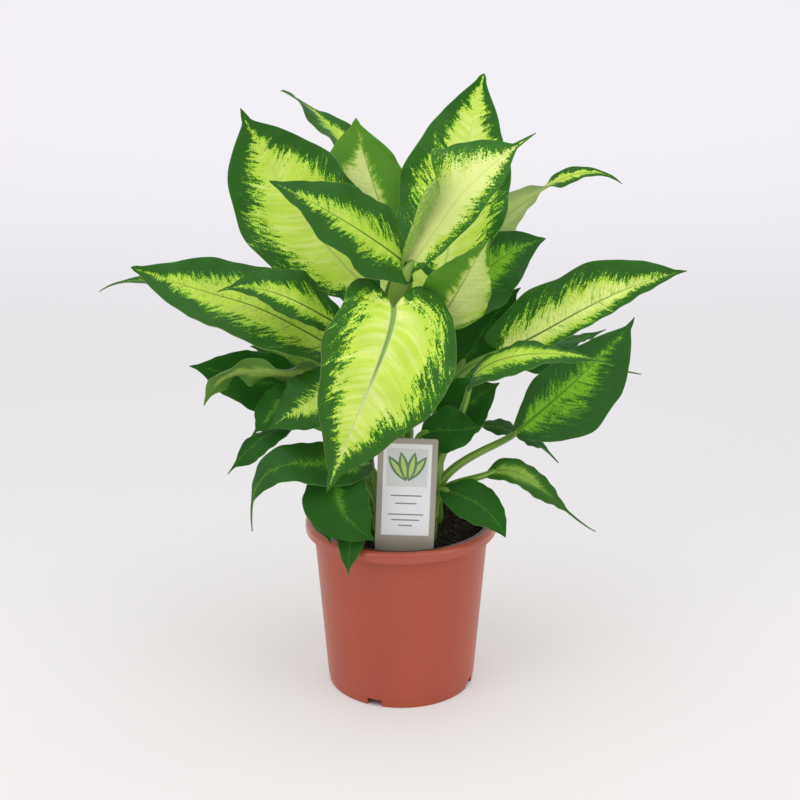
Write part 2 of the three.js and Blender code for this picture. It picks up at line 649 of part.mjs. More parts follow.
function bladeSolid(leaf, number) {
  const form = { ...PLAIN_BLADE, ...leaf };
  const curve = midribCurve(leaf);
  const length = curve.getLength();
  const half = leaf.width / 2;
  const rows = THREE.MathUtils.clamp(Math.round(length / ROW_LENGTH), ...ROWS);
  const phase = LEAF_PHASE_STEP * number;
  const top = [];
  const bottom = [];
  for (let i = 0; i <= rows; i += 1) {
    const u = i / rows;
    const reach = Math.max(half * widthShare(form, u), TIP_HALF_WIDTH);
    const keel = Math.min(KEEL_HALF_WIDTH / reach, KEEL_SHARE_LIMIT);
    for (const v of bladeColumns(leaf, keel)) {
      const spot = Math.abs(v);
      const swept = u - form.lobe * Math.sin(0.5 * Math.PI * spot) * (1 - u) ** LOBE_FADE;
      const { centre, up, side } = bladeFrame(leaf, form, curve, swept);
      const hand = Math.sign(v);
      const turn = 2 * Math.PI * (OUTLINE_WAVES * u + OUTLINE_PHASE_STEP * number);
      const uneven = 1 + OUTLINE_WAVE * Math.sin(turn + (hand < 0 ? LEFT_OUTLINE_PHASE : 0));
      const out = reach * spot * (1 + hand * form.skew) * uneven;
      const { lateral, rise, slope } = halfSection(form, hand, u, spot, out, half);
      const ripple = Math.sin(2 * Math.PI * (form.waves * u + phase) + (hand < 0 ? LEFT_HALF_PHASE : 0));
      const edge = form.wave * ripple * v * v * Math.min((WAVE_FADE_WIDTH * out) / half, 1);
      const surface = centre.clone()
        .addScaledVector(side, hand * lateral)
        .addScaledVector(up, rise + edge);
      const normal = up.clone().multiplyScalar(Math.cos(slope)).addScaledVector(side, -hand * Math.sin(slope));
      const keelDepth = v === 0 ? KEEL_DEPTH * (1 - u) ** KEEL_FADE : 0;
      top.push(surface.clone().addScaledVector(normal, BLADE_THICKNESS / 2));
      bottom.push(surface.clone().addScaledVector(normal, -BLADE_THICKNESS / 2 - keelDepth));
    }
  }
  return toSolid(slabGeometry(top, bottom, rows + 1, bladeColumns(leaf, 0).length));
}

function slabGeometry(top, bottom, rows, columns) {
  // Both faces are split along the same diagonals, so that a waved blade never meets itself.
  const shift = top.length;
  const index = [];
  const quad = (a, b, c, d) => index.push(a, b, c, a, c, d);
  for (let i = 0; i < rows - 1; i += 1) {
    for (let j = 0; j < columns - 1; j += 1) {
      const a = i * columns + j;
      index.push(a, a + 1, a + 1 + columns, a, a + 1 + columns, a + columns);
      index.push(shift + a, shift + a + 1 + columns, shift + a + 1);
      index.push(shift + a, shift + a + columns, shift + a + 1 + columns);
    }
    const left = i * columns;
    const right = left + columns - 1;
    quad(left, left + columns, shift + left + columns, shift + left);
    quad(right, shift + right, shift + right + columns, right + columns);
  }
  const last = (rows - 1) * columns;
  for (let j = 0; j < columns - 1; j += 1) {
    quad(j, shift + j, shift + j + 1, j + 1);
    quad(last + j, last + j + 1, shift + last + j + 1, shift + last + j);
  }
  const geometry = new THREE.BufferGeometry();
  const points = [...top, ...bottom];
  geometry.setAttribute('position', new THREE.Float32BufferAttribute(points.flatMap((p) => p.toArray()), 3));
  geometry.setIndex(index);
  return geometry;
}

// Assembly
const group = new THREE.Group();

function addPiece(name, geometry, material) {
  const mesh = new THREE.Mesh(geometry, material);
  mesh.name = name;
  group.add(mesh);
}

let soil = soilSolid().subtract(toSolid(labelGeometry(GAP)));
addPiece('pot', toGeometry(potSolid()), TERRACOTTA);
addPiece('label', labelGeometry(0), LABEL_TAUPE);

const clearOfStalks = {};
for (const number of Object.keys(SHOOTS).map(Number)) {
  addPiece(`shoot_${number}`, toGeometry(shootSolid(number, 0)), STALK_GREEN);
  clearOfStalks[number] = shootSolid(number, GAP);
  soil = soil.subtract(toSolid(caneGeometry(SHOOTS[number], GAP)));
}
addPiece('soil', toGeometry(largestBody(soil)), SOIL_DARK);

LEAVES.forEach((leaf, number) => {
  const blade = bladeSolid(leaf, number).subtract(clearOfStalks[leaf.shoot]);
  addPiece(leaf.name, toGeometry(largestBody(blade)), LEAF_GREEN);
});

export default group;
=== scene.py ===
"""Potted dieffenbachia, dressed: variegated leaves, stalks, potting mix, nursery pot and plant label.

Metres, +Z up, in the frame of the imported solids. The origin is the centre of the pot's foot, and -Y is the
front.
"""

import logging
import math
from collections.abc import Callable, Iterable, Sequence
from dataclasses import dataclass, field, replace
from enum import Enum
from typing import Any

import bpy
import numpy as np
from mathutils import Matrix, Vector


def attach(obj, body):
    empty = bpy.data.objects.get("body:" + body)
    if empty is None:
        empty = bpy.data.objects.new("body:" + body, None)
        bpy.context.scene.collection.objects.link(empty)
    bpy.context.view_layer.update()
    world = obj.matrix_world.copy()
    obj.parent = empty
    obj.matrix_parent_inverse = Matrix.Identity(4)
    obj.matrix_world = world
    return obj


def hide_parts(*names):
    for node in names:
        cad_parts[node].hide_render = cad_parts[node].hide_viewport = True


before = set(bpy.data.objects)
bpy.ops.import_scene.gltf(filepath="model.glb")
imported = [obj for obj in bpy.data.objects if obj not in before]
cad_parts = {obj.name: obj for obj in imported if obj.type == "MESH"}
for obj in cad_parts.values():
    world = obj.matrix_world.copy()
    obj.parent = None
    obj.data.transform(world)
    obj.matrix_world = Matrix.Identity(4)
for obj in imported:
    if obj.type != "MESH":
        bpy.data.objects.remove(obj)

LOG = logging.getLogger("dieffenbachia")
ROOT = "root"
SOIL_LEVEL = 0.143
Pair = tuple[float, float]
Point = tuple[float, float, float]
Colour = tuple[float, float, float, float]


def colour(red: int, green: int, blue: int) -> Colour:
    """Turns a display colour, 0 to 255 a channel, into the linear colour that a shader takes."""
    shares = np.array([red, green, blue]) / 255.0
    linear = np.where(shares <= 0.04045, shares / 12.92, ((shares + 0.055) / 1.055) ** 2.4)
    return (*(float(value) for value in linear), 1.0)


BLACK: Colour = (0.0, 0.0, 0.0, 1.0)


def round_turns(count: int) -> np.ndarray:
    """Divides a full turn into that many equal angles, in radians from 0."""
    return np.linspace(0.0, 2.0 * np.pi, count, endpoint=False)


def cubic(t: np.ndarray, corners: Sequence[np.ndarray]) -> np.ndarray:
    """Gives places on a cubic curve.

    Args:
        t: Shares of the curve's parameter, one to a row.
        corners: The start, the start's handle, the end's handle and the end.

    Returns:
        Rows of x, y, z.
    """
    start, leave, arrive, end = corners
    return (1 - t) ** 3 * start + 3 * (1 - t) ** 2 * t * leave + 3 * (1 - t) * t**2 * arrive + t**3 * end


def smooth_step(value: np.ndarray, low: float, high: float) -> np.ndarray:
    """Rises smoothly from 0 at low to 1 at high, for arrays."""
    share = np.clip((value - low) / (high - low), 0.0, 1.0)
    return share * share * (3.0 - 2.0 * share)


def unit(vectors: np.ndarray) -> np.ndarray:
    """Scales the vectors in the last axis to length 1."""
    return vectors / np.maximum(np.linalg.norm(vectors, axis=-1, keepdims=True), 1e-12)


class Signal:
    """A shader socket that Python operators turn into Math nodes."""

    def __init__(self, shader: "Shader", socket: bpy.types.NodeSocket) -> None:
        """Wraps one output socket of the shader's tree."""
        self.shader = shader
        self.socket = socket

    def __add__(self, other: "Signal | float") -> "Signal":
        """Adds."""
        return self.shader.math("ADD", self, other)

    def __sub__(self, other: "Signal | float") -> "Signal":
        """Subtracts other from this."""
        return self.shader.math("SUBTRACT", self, other)

    def __rsub__(self, other: float) -> "Signal":
        """Subtracts this from a number."""
        return self.shader.math("SUBTRACT", other, self)

    def __mul__(self, other: "Signal | float") -> "Signal":
        """Multiplies."""
        return self.shader.math("MULTIPLY", self, other)

    def __truediv__(self, other: "Signal | float") -> "Signal":
        """Divides this by other."""
        return self.shader.math("DIVIDE", self, other)

    __radd__ = __add__
    __rmul__ = __mul__


class Shader:
    """Builds one procedural material, node by node."""

    def __init__(self, name: str) -> None:
        """Starts an empty material of that name."""
        self.material = bpy.data.materials.new(name)
        self.material.use_nodes = True
        self.tree = self.material.node_tree
        self.tree.nodes.clear()

    def node(self, kind: str, settings: dict[str, Any], inputs: dict[int | str, Any]) -> bpy.types.Node:
        """Adds a node of any type.

        Args:
            kind: The node's type, such as ShaderNodeMath.
            settings: Its own options, set first; stops holds a ramp's stops.
            inputs: Values or signals for its sockets, by name or number.

        Returns:
            The new node.
        """
        made = self.tree.nodes.new(kind)
        for key, value in settings.items():
            if key == "stops":
                self._set_stops(made.color_ramp, value)
            else:
                setattr(made, key, value)
        for key, value in inputs.items():
            if isinstance(value, Signal):
                self.tree.links.new(value.socket, made.inputs[key])
            else:
                made.inputs[key].default_value = value
        return made

    @staticmethod
    def _set_stops(ramp: bpy.types.ColorRamp, stops: Sequence[tuple[float, Colour]]) -> None:
        """Gives a colour ramp its stops."""
        while len(ramp.elements) < len(stops):
            ramp.elements.new(1.0)
        for element, (position, shade) in zip(ramp.elements, stops, strict=True):
            element.position = position
            element.color = shade

    def math(self, operation: str, *values: Signal | float) -> Signal:
        """Returns a Math node's result."""
        made = self.node("ShaderNodeMath", {"operation": operation}, dict(enumerate(values)))
        return Signal(self, made.outputs[0])

    def smooth(self, value: Signal, low: float, high: float) -> Signal:
        """Rises smoothly from 0 at low to 1 at high."""
        settings = {"interpolation_type": "SMOOTHSTEP"}
        made = self.node("ShaderNodeMapRange", settings, {0: value, 1: low, 2: high, 3: 0.0, 4: 1.0})
        return Signal(self, made.outputs[0])

    def mix(self, factor: Signal | float, first: Any, second: Any, blend: str = "MIX") -> Signal:
        """Mixes two colours by a factor."""
        settings = {"data_type": "RGBA", "blend_type": blend}
        made = self.node("ShaderNodeMix", settings, {0: factor, 6: first, 7: second})
        return Signal(self, made.outputs[2])

    def ramp(self, value: Signal, stops: Sequence[tuple[float, Colour]]) -> Signal:
        """Looks a value up in a colour ramp."""
        made = self.node("ShaderNodeValToRGB", {"stops": stops}, {0: value})
        return Signal(self, made.outputs[0])

    def vector(self, x: Signal | float, y: Signal | float, z: Signal | float) -> Signal:
        """Joins three numbers into a vector."""
        return Signal(self, self.node("ShaderNodeCombineXYZ", {}, {0: x, 1: y, 2: z}).outputs[0])

    def split(self, vector: Signal) -> tuple[Signal, Signal, Signal]:
        """Splits a vector into its three numbers."""
        made = self.node("ShaderNodeSeparateXYZ", {}, {0: vector})
        return Signal(self, made.outputs[0]), Signal(self, made.outputs[1]), Signal(self, made.outputs[2])

    def attribute(self, name: str) -> Signal:
        """Reads a vector attribute of the mesh."""
        made = self.node("ShaderNodeAttribute", {"attribute_name": name}, {})
        return Signal(self, made.outputs["Vector"])

    def object_place(self) -> Signal:
        """Returns Object coordinates, which are metres in the frame."""
        return Signal(self, self.node("ShaderNodeTexCoord", {}, {}).outputs["Object"])

    def noise(self, place: Signal, scale: float, detail: float = 2.0, roughness: float = 0.5) -> Signal:
        """Returns noise from 0 to 1, mostly near 0.5."""
        inputs = {"Vector": place, "Scale": scale, "Detail": detail, "Roughness": roughness}
        return Signal(self, self.node("ShaderNodeTexNoise", {}, inputs).outputs[0])

    def cells(self, place: Signal, scale: float) -> Signal:
        """Returns the distance to the nearest of many scattered points."""
        made = self.node("ShaderNodeTexVoronoi", {}, {"Vector": place, "Scale": scale})
        return Signal(self, made.outputs["Distance"])

    def bump(self, height: Signal, strength: float, distance: float) -> Signal:
        """Turns a height into a surface normal."""
        inputs = {"Height": height, "Strength": strength, "Distance": distance}
        return Signal(self, self.node("ShaderNodeBump", {}, inputs).outputs[0])

    def finish(self, **sockets: Any) -> bpy.types.Material:
        """Adds the surface shader, with underscores for spaces in its sockets' names."""
        inputs = {name.replace("_", " "): value for name, value in sockets.items()}
        surface = self.node("ShaderNodeBsdfPrincipled", {}, inputs)
        self.node("ShaderNodeOutputMaterial", {}, {0: Signal(self, surface.outputs[0])})
        return self.material


class NodeGroup:
    """Builds one Geometry Nodes tree with named inputs."""

    def __init__(self, name: str, sockets: Sequence[tuple[str, str]]) -> None:
        """Starts a tree that takes a geometry and the given (name, socket type) inputs."""
        self.tree = bpy.data.node_groups.new(name, "GeometryNodeTree")
        self.tree.interface.new_socket("Geometry", in_out="INPUT", socket_type="NodeSocketGeometry")
        self.tree.interface.new_socket("Geometry", in_out="OUTPUT", socket_type="NodeSocketGeometry")
        for label, kind in sockets:
            self.tree.interface.new_socket(label, in_out="INPUT", socket_type=kind)
        self.entry = self.tree.nodes.new("NodeGroupInput")
        self.exit = self.tree.nodes.new("NodeGroupOutput")

    def given(self, name: str) -> bpy.types.NodeSocket:
        """Returns the tree's input of that name."""
        return self.entry.outputs[name]

    def node(self, kind: str, settings: dict[str, Any], inputs: dict[int | str, Any]) -> bpy.types.Node:
        """Adds a node, sets its options, then its sockets by value or by link."""
        made = self.tree.nodes.new(kind)
        for key, value in settings.items():
            setattr(made, key, value)
        for key, value in inputs.items():
            if isinstance(value, bpy.types.NodeSocket):
                self.tree.links.new(value, made.inputs[key])
            else:
                made.inputs[key].default_value = value
        return made

    def close(self, geometry: bpy.types.NodeSocket) -> None:
        """Ends the tree in Realize Instances and Set Material."""
        real = self.node("GeometryNodeRealizeInstances", {}, {0: geometry})
        inputs = {0: real.outputs[0], "Material": self.given("Material")}
        dressed = self.node("GeometryNodeSetMaterial", {}, inputs)
        self.tree.links.new(dressed.outputs[0], self.exit.inputs[0])

    def bake(self, name: str, base: bpy.types.Mesh, values: dict[str, Any]) -> bpy.types.Object:
        """Runs the tree on a mesh and keeps the result as a plain object.

        Args:
            name: Name of the new object.
            base: The mesh that the tree starts from.
            values: The tree's inputs by name.

        Returns:
            An object at the origin with a plain mesh and no modifier.
        """
        holder = bpy.data.objects.new(name, base)
        bpy.context.scene.collection.objects.link(holder)
        modifier = holder.modifiers.new(self.tree.name, "NODES")
        modifier.node_group = self.tree
        for item in self.tree.interface.items_tree:
            if item.in_out == "INPUT" and item.name in values:
                modifier[item.identifier] = values[item.name]
        graph = bpy.context.evaluated_depsgraph_get()
        made = bpy.data.meshes.new_from_object(holder.evaluated_get(graph), depsgraph=graph)
        made.name = name
        holder.modifiers.remove(modifier)
        holder.data = made
        return holder


def shade_smooth(mesh: bpy.types.Mesh) -> None:
    """Marks every face of a mesh as smooth."""
    mesh.polygons.foreach_set("use_smooth", np.ones(len(mesh.polygons), bool))


def new_mesh(name: str, points: np.ndarray, faces: list[list[int]], smooth: bool = False) -> bpy.types.Mesh:
    """Makes a mesh from points and faces.

    Args:
        name: Name of the mesh.
        points: Rows of x, y, z.
        faces: Point numbers of each face, in order round it.
        smooth: Whether the faces are shaded smooth.

    Returns:
        The new mesh.
    """
    mesh = bpy.data.meshes.new(name)
    mesh.from_pydata(points.tolist(), [], faces)
    mesh.update()
    if smooth:
        shade_smooth(mesh)
    return mesh


def add_vectors(mesh: bpy.types.Mesh, name: str, values: np.ndarray) -> None:
    """Stores one vector per point under that name."""
    layer = mesh.attributes.new(name, "FLOAT_VECTOR", "POINT")
    layer.data.foreach_set("vector", np.ascontiguousarray(values, np.float32).ravel())


def add_object(name: str, mesh: bpy.types.Mesh, material: bpy.types.Material) -> bpy.types.Object:
    """Links a mesh as an object at the origin and dresses it."""
    piece = bpy.data.objects.new(name, mesh)
    mesh.materials.clear()
    mesh.materials.append(material)
    bpy.context.scene.collection.objects.link(piece)
    return piece


def settle(piece: bpy.types.Object, nodes: Sequence[str]) -> None:
    """Joins a finished piece to the frame: its body and the solids that it stands for."""
    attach(piece, ROOT)
    if nodes:
        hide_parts(*nodes)
    LOG.info("%s: %d faces", piece.name, len(piece.data.polygons))


def grid_faces(rows: int, columns: int, shift: int = 0, wrap: bool = False) -> np.ndarray:
    """Numbers the quads of a grid of points.

    Args:
        rows: Rows of points.
        columns: Points in a row.
        shift: Number of the first point.
        wrap: Whether the last column joins the first.

    Returns:
        Rows of four point numbers, facing out where rows rise and columns run anticlockwise.
    """
    across = columns if wrap else columns - 1
    row, column = np.meshgrid(np.arange(rows - 1), np.arange(across), indexing="ij")
    after = (column + 1) % columns
    near, far = row * columns, (row + 1) * columns
    corners = (near + column, near + after, far + after, far + column)
    return np.stack([corner.ravel() for corner in corners], -1) + shift


class Margin(Enum):
    """How the pale centre of a leaf ends towards its margin."""

    FEATHERED = "feathered"
    SPECKLED = "speckled"
    SOFT = "soft"

    def edge_noise(self) -> tuple[float, float, float, float]:
        """Gives how far broad, feather, dash and speck noise move the edge, as shares of the half width."""
        return {
            Margin.FEATHERED: (0.6, 0.95, 0.6, 0.6),
            Margin.SPECKLED: (0.45, 0.7, 0.8, 1.0),
            Margin.SOFT: (0.6, 0.5, 0.3, 0.3),
        }[self]


@dataclass(frozen=True)
class Midrib:
    """Look of a midrib: half width at its base in metres, its colours, and the pale halo beside it.

    The base colour turns to the tip colour between the two shares of the length in turn.
    """

    width: float = 0.0012
    tip_width: float = 0.0003
    halo_width: float = 0.0022
    base: Colour = colour(96, 142, 50)
    tip: Colour = colour(176, 196, 128)
    turn: Pair = (0.15, 0.6)
    halo: float = 0.0
    halo_colour: Colour = colour(206, 216, 168)
    strength: float = 0.85


@dataclass(frozen=True)
class NoiseLayer:
    """One layer of noise over a blade: how often it changes along and across, its seed and its detail."""

    along: float
    across: float
    shift: float = 0.0
    detail: float = 2.0
    roughness: float = 0.5

    def lay(self, shader: Shader, along: Signal, across: Signal, seed: Signal) -> Signal:
        """Adds the layer to a shader, along and across the blade."""
        place = shader.vector(along * self.along, across * self.across, seed + self.shift)
        return shader.noise(place, 1.0, self.detail, self.roughness)


BROAD = NoiseLayer(0.33, 70.0)
BAND = NoiseLayer(1.1, 16.0, 5.0)
FEATHER = NoiseLayer(1.7, 85.0, 3.0, roughness=0.6)
DASH = NoiseLayer(4.0, 290.0, 7.0, roughness=0.6)
SPECK = NoiseLayer(900.0, 900.0, detail=1.0)
CLOUD = NoiseLayer(45.0, 45.0, 11.0, detail=3.0)


@dataclass(frozen=True)
class LeafSkin:
    """Finish of a leaf blade: dark margin, pale centre, midrib and paler underside.

    glow is painted light: the blade emits its own colour, which stands for the light that comes through the
    thin blade and lifts its shade. vein_depth says how far the lateral veins are sunk, and contrast under 1
    softens the step from the pale centre to the dark margin. stops are the steps of that edge at which the
    dark, middle, bright and pale colours stand. Clouds of shade and of light lie over all of it.
    """

    name: str
    dark: Colour = colour(44, 96, 26)
    middle: Colour = colour(72, 134, 30)
    bright: Colour = colour(126, 182, 40)
    pale: Colour = colour(184, 214, 66)
    cream: Colour = colour(214, 226, 132)
    vein: Colour = colour(176, 202, 96)
    hem: Colour = colour(168, 190, 120)
    under: Colour = colour(128, 158, 84)
    under_share: float = 0.5
    margin: Margin = Margin.FEATHERED
    streaks: float = 0.0
    rib: Midrib = Midrib()
    roughness: float = 0.46
    shine: float = 0.16
    glow: float = 0.06
    vein_depth: float = 0.2
    contrast: float = 1.0
    stops: tuple[float, float, float, float] = (0.38, 0.46, 0.53, 0.6)
    cloud_shade: Colour = (0.76, 0.8, 0.72, 1.0)
    cloud_light: Colour = (1.22, 1.18, 1.24, 1.0)

    def build(self) -> bpy.types.Material:
        """Makes the material from the blade's own attributes."""
        shader = Shader(self.name)
        along, across, vein = shader.split(shader.attribute("blade_place"))
        length_share, width_share, under = shader.split(shader.attribute("blade_share"))
        pale_field, cream_field, seed = shader.split(shader.attribute("blade_paint"))
        broad = BROAD.lay(shader, vein, across, seed)
        feather = FEATHER.lay(shader, vein, across, seed)
        dash = DASH.lay(shader, vein, across, seed)
        speck = SPECK.lay(shader, along, across, seed)
        by_broad, by_feather, by_dash, by_speck = self.margin.edge_noise()
        edge = pale_field + (broad - 0.5) * by_broad + (feather - 0.5) * by_feather
        fine = edge + (dash - 0.5) * by_dash + (speck - 0.5) * by_speck
        colours = (self.dark, self.middle, self.bright, self.pale)
        skin = shader.ramp(fine * self.contrast + 0.5, list(zip(self.stops, colours, strict=True)))
        inside = shader.smooth(fine, 0.04, 0.16)
        band = BAND.lay(shader, vein, across, seed)
        creamy = shader.smooth(cream_field + (band - 0.5) * 1.5 + (feather - 0.5) * 0.5, 0.1, 0.8)
        skin = shader.mix(creamy * inside, skin, self.cream)
        streak = shader.smooth(feather * 0.5 + band * 0.5 + (dash - 0.5) * 0.6, 0.5, 0.66) * self.streaks
        skin = shader.mix(streak * inside, skin, self.bright)
        cloud = CLOUD.lay(shader, along, across, seed)
        shade = shader.mix(cloud, self.cloud_shade, self.cloud_light)
        skin = shader.mix(1.0, skin, shade, "MULTIPLY")
        lateral = shader.math("ABSOLUTE", shader.math("FRACT", vein) - 0.5) * 2.0
        vein_line = shader.smooth(lateral, 0.7, 1.0) * (1.0 - width_share) * (inside * 0.24 + 0.03)
        skin = shader.mix(vein_line, skin, self.vein)
        skin, rib = self._rib(shader, skin, length_share, across)
        skin = shader.mix(shader.smooth(width_share, 0.982, 0.999) * 0.3, skin, self.hem)
        skin = shader.mix(under * self.under_share, skin, self.under)
        height = lateral * lateral * -self.vein_depth * (1.0 - rib) + dash * 0.2 + speck * 0.3
        gloss = (speck - 0.5) * 0.12 + under * 0.12 + (cloud - 0.5) * 0.14 + self.roughness
        # Emission in the skin's own colour, as strong as glow, is painted light for the light through the
        # blade.
        return shader.finish(
            Base_Color=skin, Roughness=gloss, Normal=shader.bump(height, 0.3, 0.0006),
            Subsurface_Weight=0.12, Subsurface_Radius=(0.6, 1.0, 0.25), Subsurface_Scale=0.0025,
            Specular_IOR_Level=self.shine, Emission_Color=skin, Emission_Strength=self.glow,
        )

    def _rib(
        self, shader: Shader, skin: Signal, length_share: Signal, across: Signal
    ) -> tuple[Signal, Signal]:
        """Draws the midrib and its halo over the skin.

        Args:
            shader: The material's builder.
            skin: The blade's colour so far.
            length_share: Share of the length from the stalk.
            across: Distance from the midrib in metres.

        Returns:
            The new skin, and the midrib's share at each place.
        """
        rib = self.rib
        rest = 1.0 - length_share
        width = rest * rest * rib.width + rib.tip_width
        line = 1.0 - shader.smooth(across / width, 0.7, 1.3)
        turned = shader.smooth(length_share, *rib.turn)
        tint = shader.mix(turned, rib.base, rib.tip)
        near = 1.0 - shader.smooth(across / (width + rib.halo_width), 0.35, 1.1)
        skin = shader.mix(near * (1.0 - turned) * rib.halo, skin, rib.halo_colour)
        drawn = line * (1.0 - shader.smooth(length_share, 0.8, 0.97)) * rib.strength
        return shader.mix(drawn, skin, tint), line


@dataclass(frozen=True)
class StemSkin:
    """Finish of canes and leaf stalks: smooth pale green with lengthwise streaks and ring scars."""

    name: str = "stem_skin"
    pale: Colour = colour(148, 182, 74)
    green: Colour = colour(98, 146, 46)
    scar: Colour = colour(120, 112, 66)
    roughness: float = 0.4

    def build(self) -> bpy.types.Material:
        """Makes the material; stem_form holds the share along the stem, the age and the ring scars."""
        shader = Shader(self.name)
        share, age, scar = shader.split(shader.attribute("stem_form"))
        out_x, out_y, _ = shader.split(shader.attribute("stem_side"))
        x, y, z = shader.split(shader.object_place())
        own = (x + y) * 9.0
        streak = shader.noise(shader.vector(out_x * 1.7 + own, out_y * 1.7, z * 9.0), 1.0, 3.0)
        fleck = shader.noise(shader.vector(x * 700.0, y * 700.0, z * 160.0), 1.0, 2.0)
        skin = shader.mix(shader.smooth(streak - share * 0.06, 0.34, 0.62), self.green, self.pale)
        skin = shader.mix(age * 0.45, skin, self.green)
        skin = shader.mix(shader.smooth(fleck, 0.62, 0.74) * 0.2, skin, self.pale)
        skin = shader.mix(scar * 0.7, skin, self.scar)
        height = streak * 0.6 + fleck * 0.3 - scar * 0.5
        return shader.finish(
            Base_Color=skin, Roughness=(fleck - 0.5) * 0.2 + self.roughness,
            Normal=shader.bump(height, 0.3, 0.0005),
            Subsurface_Weight=0.1, Subsurface_Radius=(0.6, 1.0, 0.25), Subsurface_Scale=0.002,
        )


@dataclass(frozen=True)
class PotPlastic:
    """Finish of the moulded nursery pot: satin terracotta-coloured plastic with flow marks and specks.

    A band is where a change starts and ends, in metres: a height, a radius, or how far a place lies outward
    of the wall's outer face. Painted shade darkens the wall's inner face and the mouth's inner edge.
    """

    name: str = "terracotta_plastic"
    body: Colour = colour(178, 82, 54)
    dusky: Colour = colour(170, 78, 54)
    warm: Colour = colour(176, 80, 52)
    speck: Colour = colour(214, 138, 100)
    inner_shade: Colour = colour(58, 34, 24)
    inner_shade_share: float = 0.9
    foot_radius: float = 0.066
    wall_slope: float = 0.0788
    lip_band: Pair = (0.144, 0.149)
    gloss_band: Pair = (0.1455, 0.15)
    wall_band: Pair = (-0.0016, -0.0006)
    floor_band: Pair = (0.0105, 0.012)
    edge_band: Pair = (0.0806, 0.0816)
    mouth_band: Pair = (0.1515, 0.1525)
    roughness: float = 0.34

    def build(self) -> bpy.types.Material:
        """Makes the material from Object coordinates."""
        shader = Shader(self.name)
        place = shader.object_place()
        x, y, z = shader.split(place)
        flow = shader.noise(shader.vector(x * 14.0, y * 14.0, z * 5.0), 1.0, 3.0)
        grain = shader.noise(place, 1400.0, 2.0)
        dots = shader.cells(place, 90.0)
        skin = shader.mix(shader.smooth(flow, 0.3, 0.7), self.dusky, self.body)
        skin = shader.mix(shader.smooth(z, *self.lip_band) * 0.6, skin, self.warm)
        skin = shader.mix((1.0 - shader.smooth(dots, 0.03, 0.06)) * 0.5, skin, self.speck)
        # Painted shade: the inner wall and the mouth's inner edge turn dark brown, where the pot's inside
        # lies in shade.
        radius = shader.math("SQRT", x * x + y * y)
        outward = radius - z * self.wall_slope - self.foot_radius
        inner_wall = (1.0 - shader.smooth(outward, *self.wall_band)) * shader.smooth(z, *self.floor_band)
        smudge = (flow - 0.5) * 0.004 + radius
        inner_edge = (1.0 - shader.smooth(smudge, *self.edge_band)) * shader.smooth(z, *self.mouth_band)
        inside = 1.0 - (1.0 - inner_wall) * (1.0 - inner_edge)
        skin = shader.mix(inside * self.inner_shade_share, skin, self.inner_shade)
        scuff = shader.noise(shader.vector(x * 60.0, y * 60.0, z * 220.0), 1.0, 4.0)
        gloss = (flow - 0.5) * 0.06 + shader.smooth(scuff, 0.6, 0.75) * 0.08 + self.roughness
        height = grain * 0.2 + scuff * 0.15
        return shader.finish(
            Base_Color=skin, Roughness=gloss, Normal=shader.bump(height, 0.1, 0.0003),
            Specular_IOR_Level=0.36, Coat_Roughness=0.16,
            Coat_Weight=shader.smooth(z, *self.gloss_band) * (1.0 - inside) * 0.5,
        )


@dataclass(frozen=True)
class PottingMix:
    """Finish of the potting mix: near-black peat with brown crumbs."""

    name: str = "potting_mix"
    dark: Colour = colour(22, 17, 13)
    brown: Colour = colour(62, 46, 34)
    pale: Colour = colour(112, 92, 70)
    pale_share: float = 0.25

    def build(self) -> bpy.types.Material:
        """Makes the material from Object coordinates."""
        shader = Shader(self.name)
        place = shader.object_place()
        lumps = shader.noise(place, 260.0, 4.0, 0.6)
        grains = shader.noise(place, 1500.0, 3.0, 0.6)
        skin = shader.mix(shader.smooth(lumps, 0.42, 0.72), self.dark, self.brown)
        skin = shader.mix(shader.smooth(grains, 0.62, 0.74) * self.pale_share, skin, self.pale)
        height = lumps * 0.8 + grains * 0.5
        return shader.finish(Base_Color=skin, Roughness=0.92, Normal=shader.bump(height, 0.8, 0.0015))


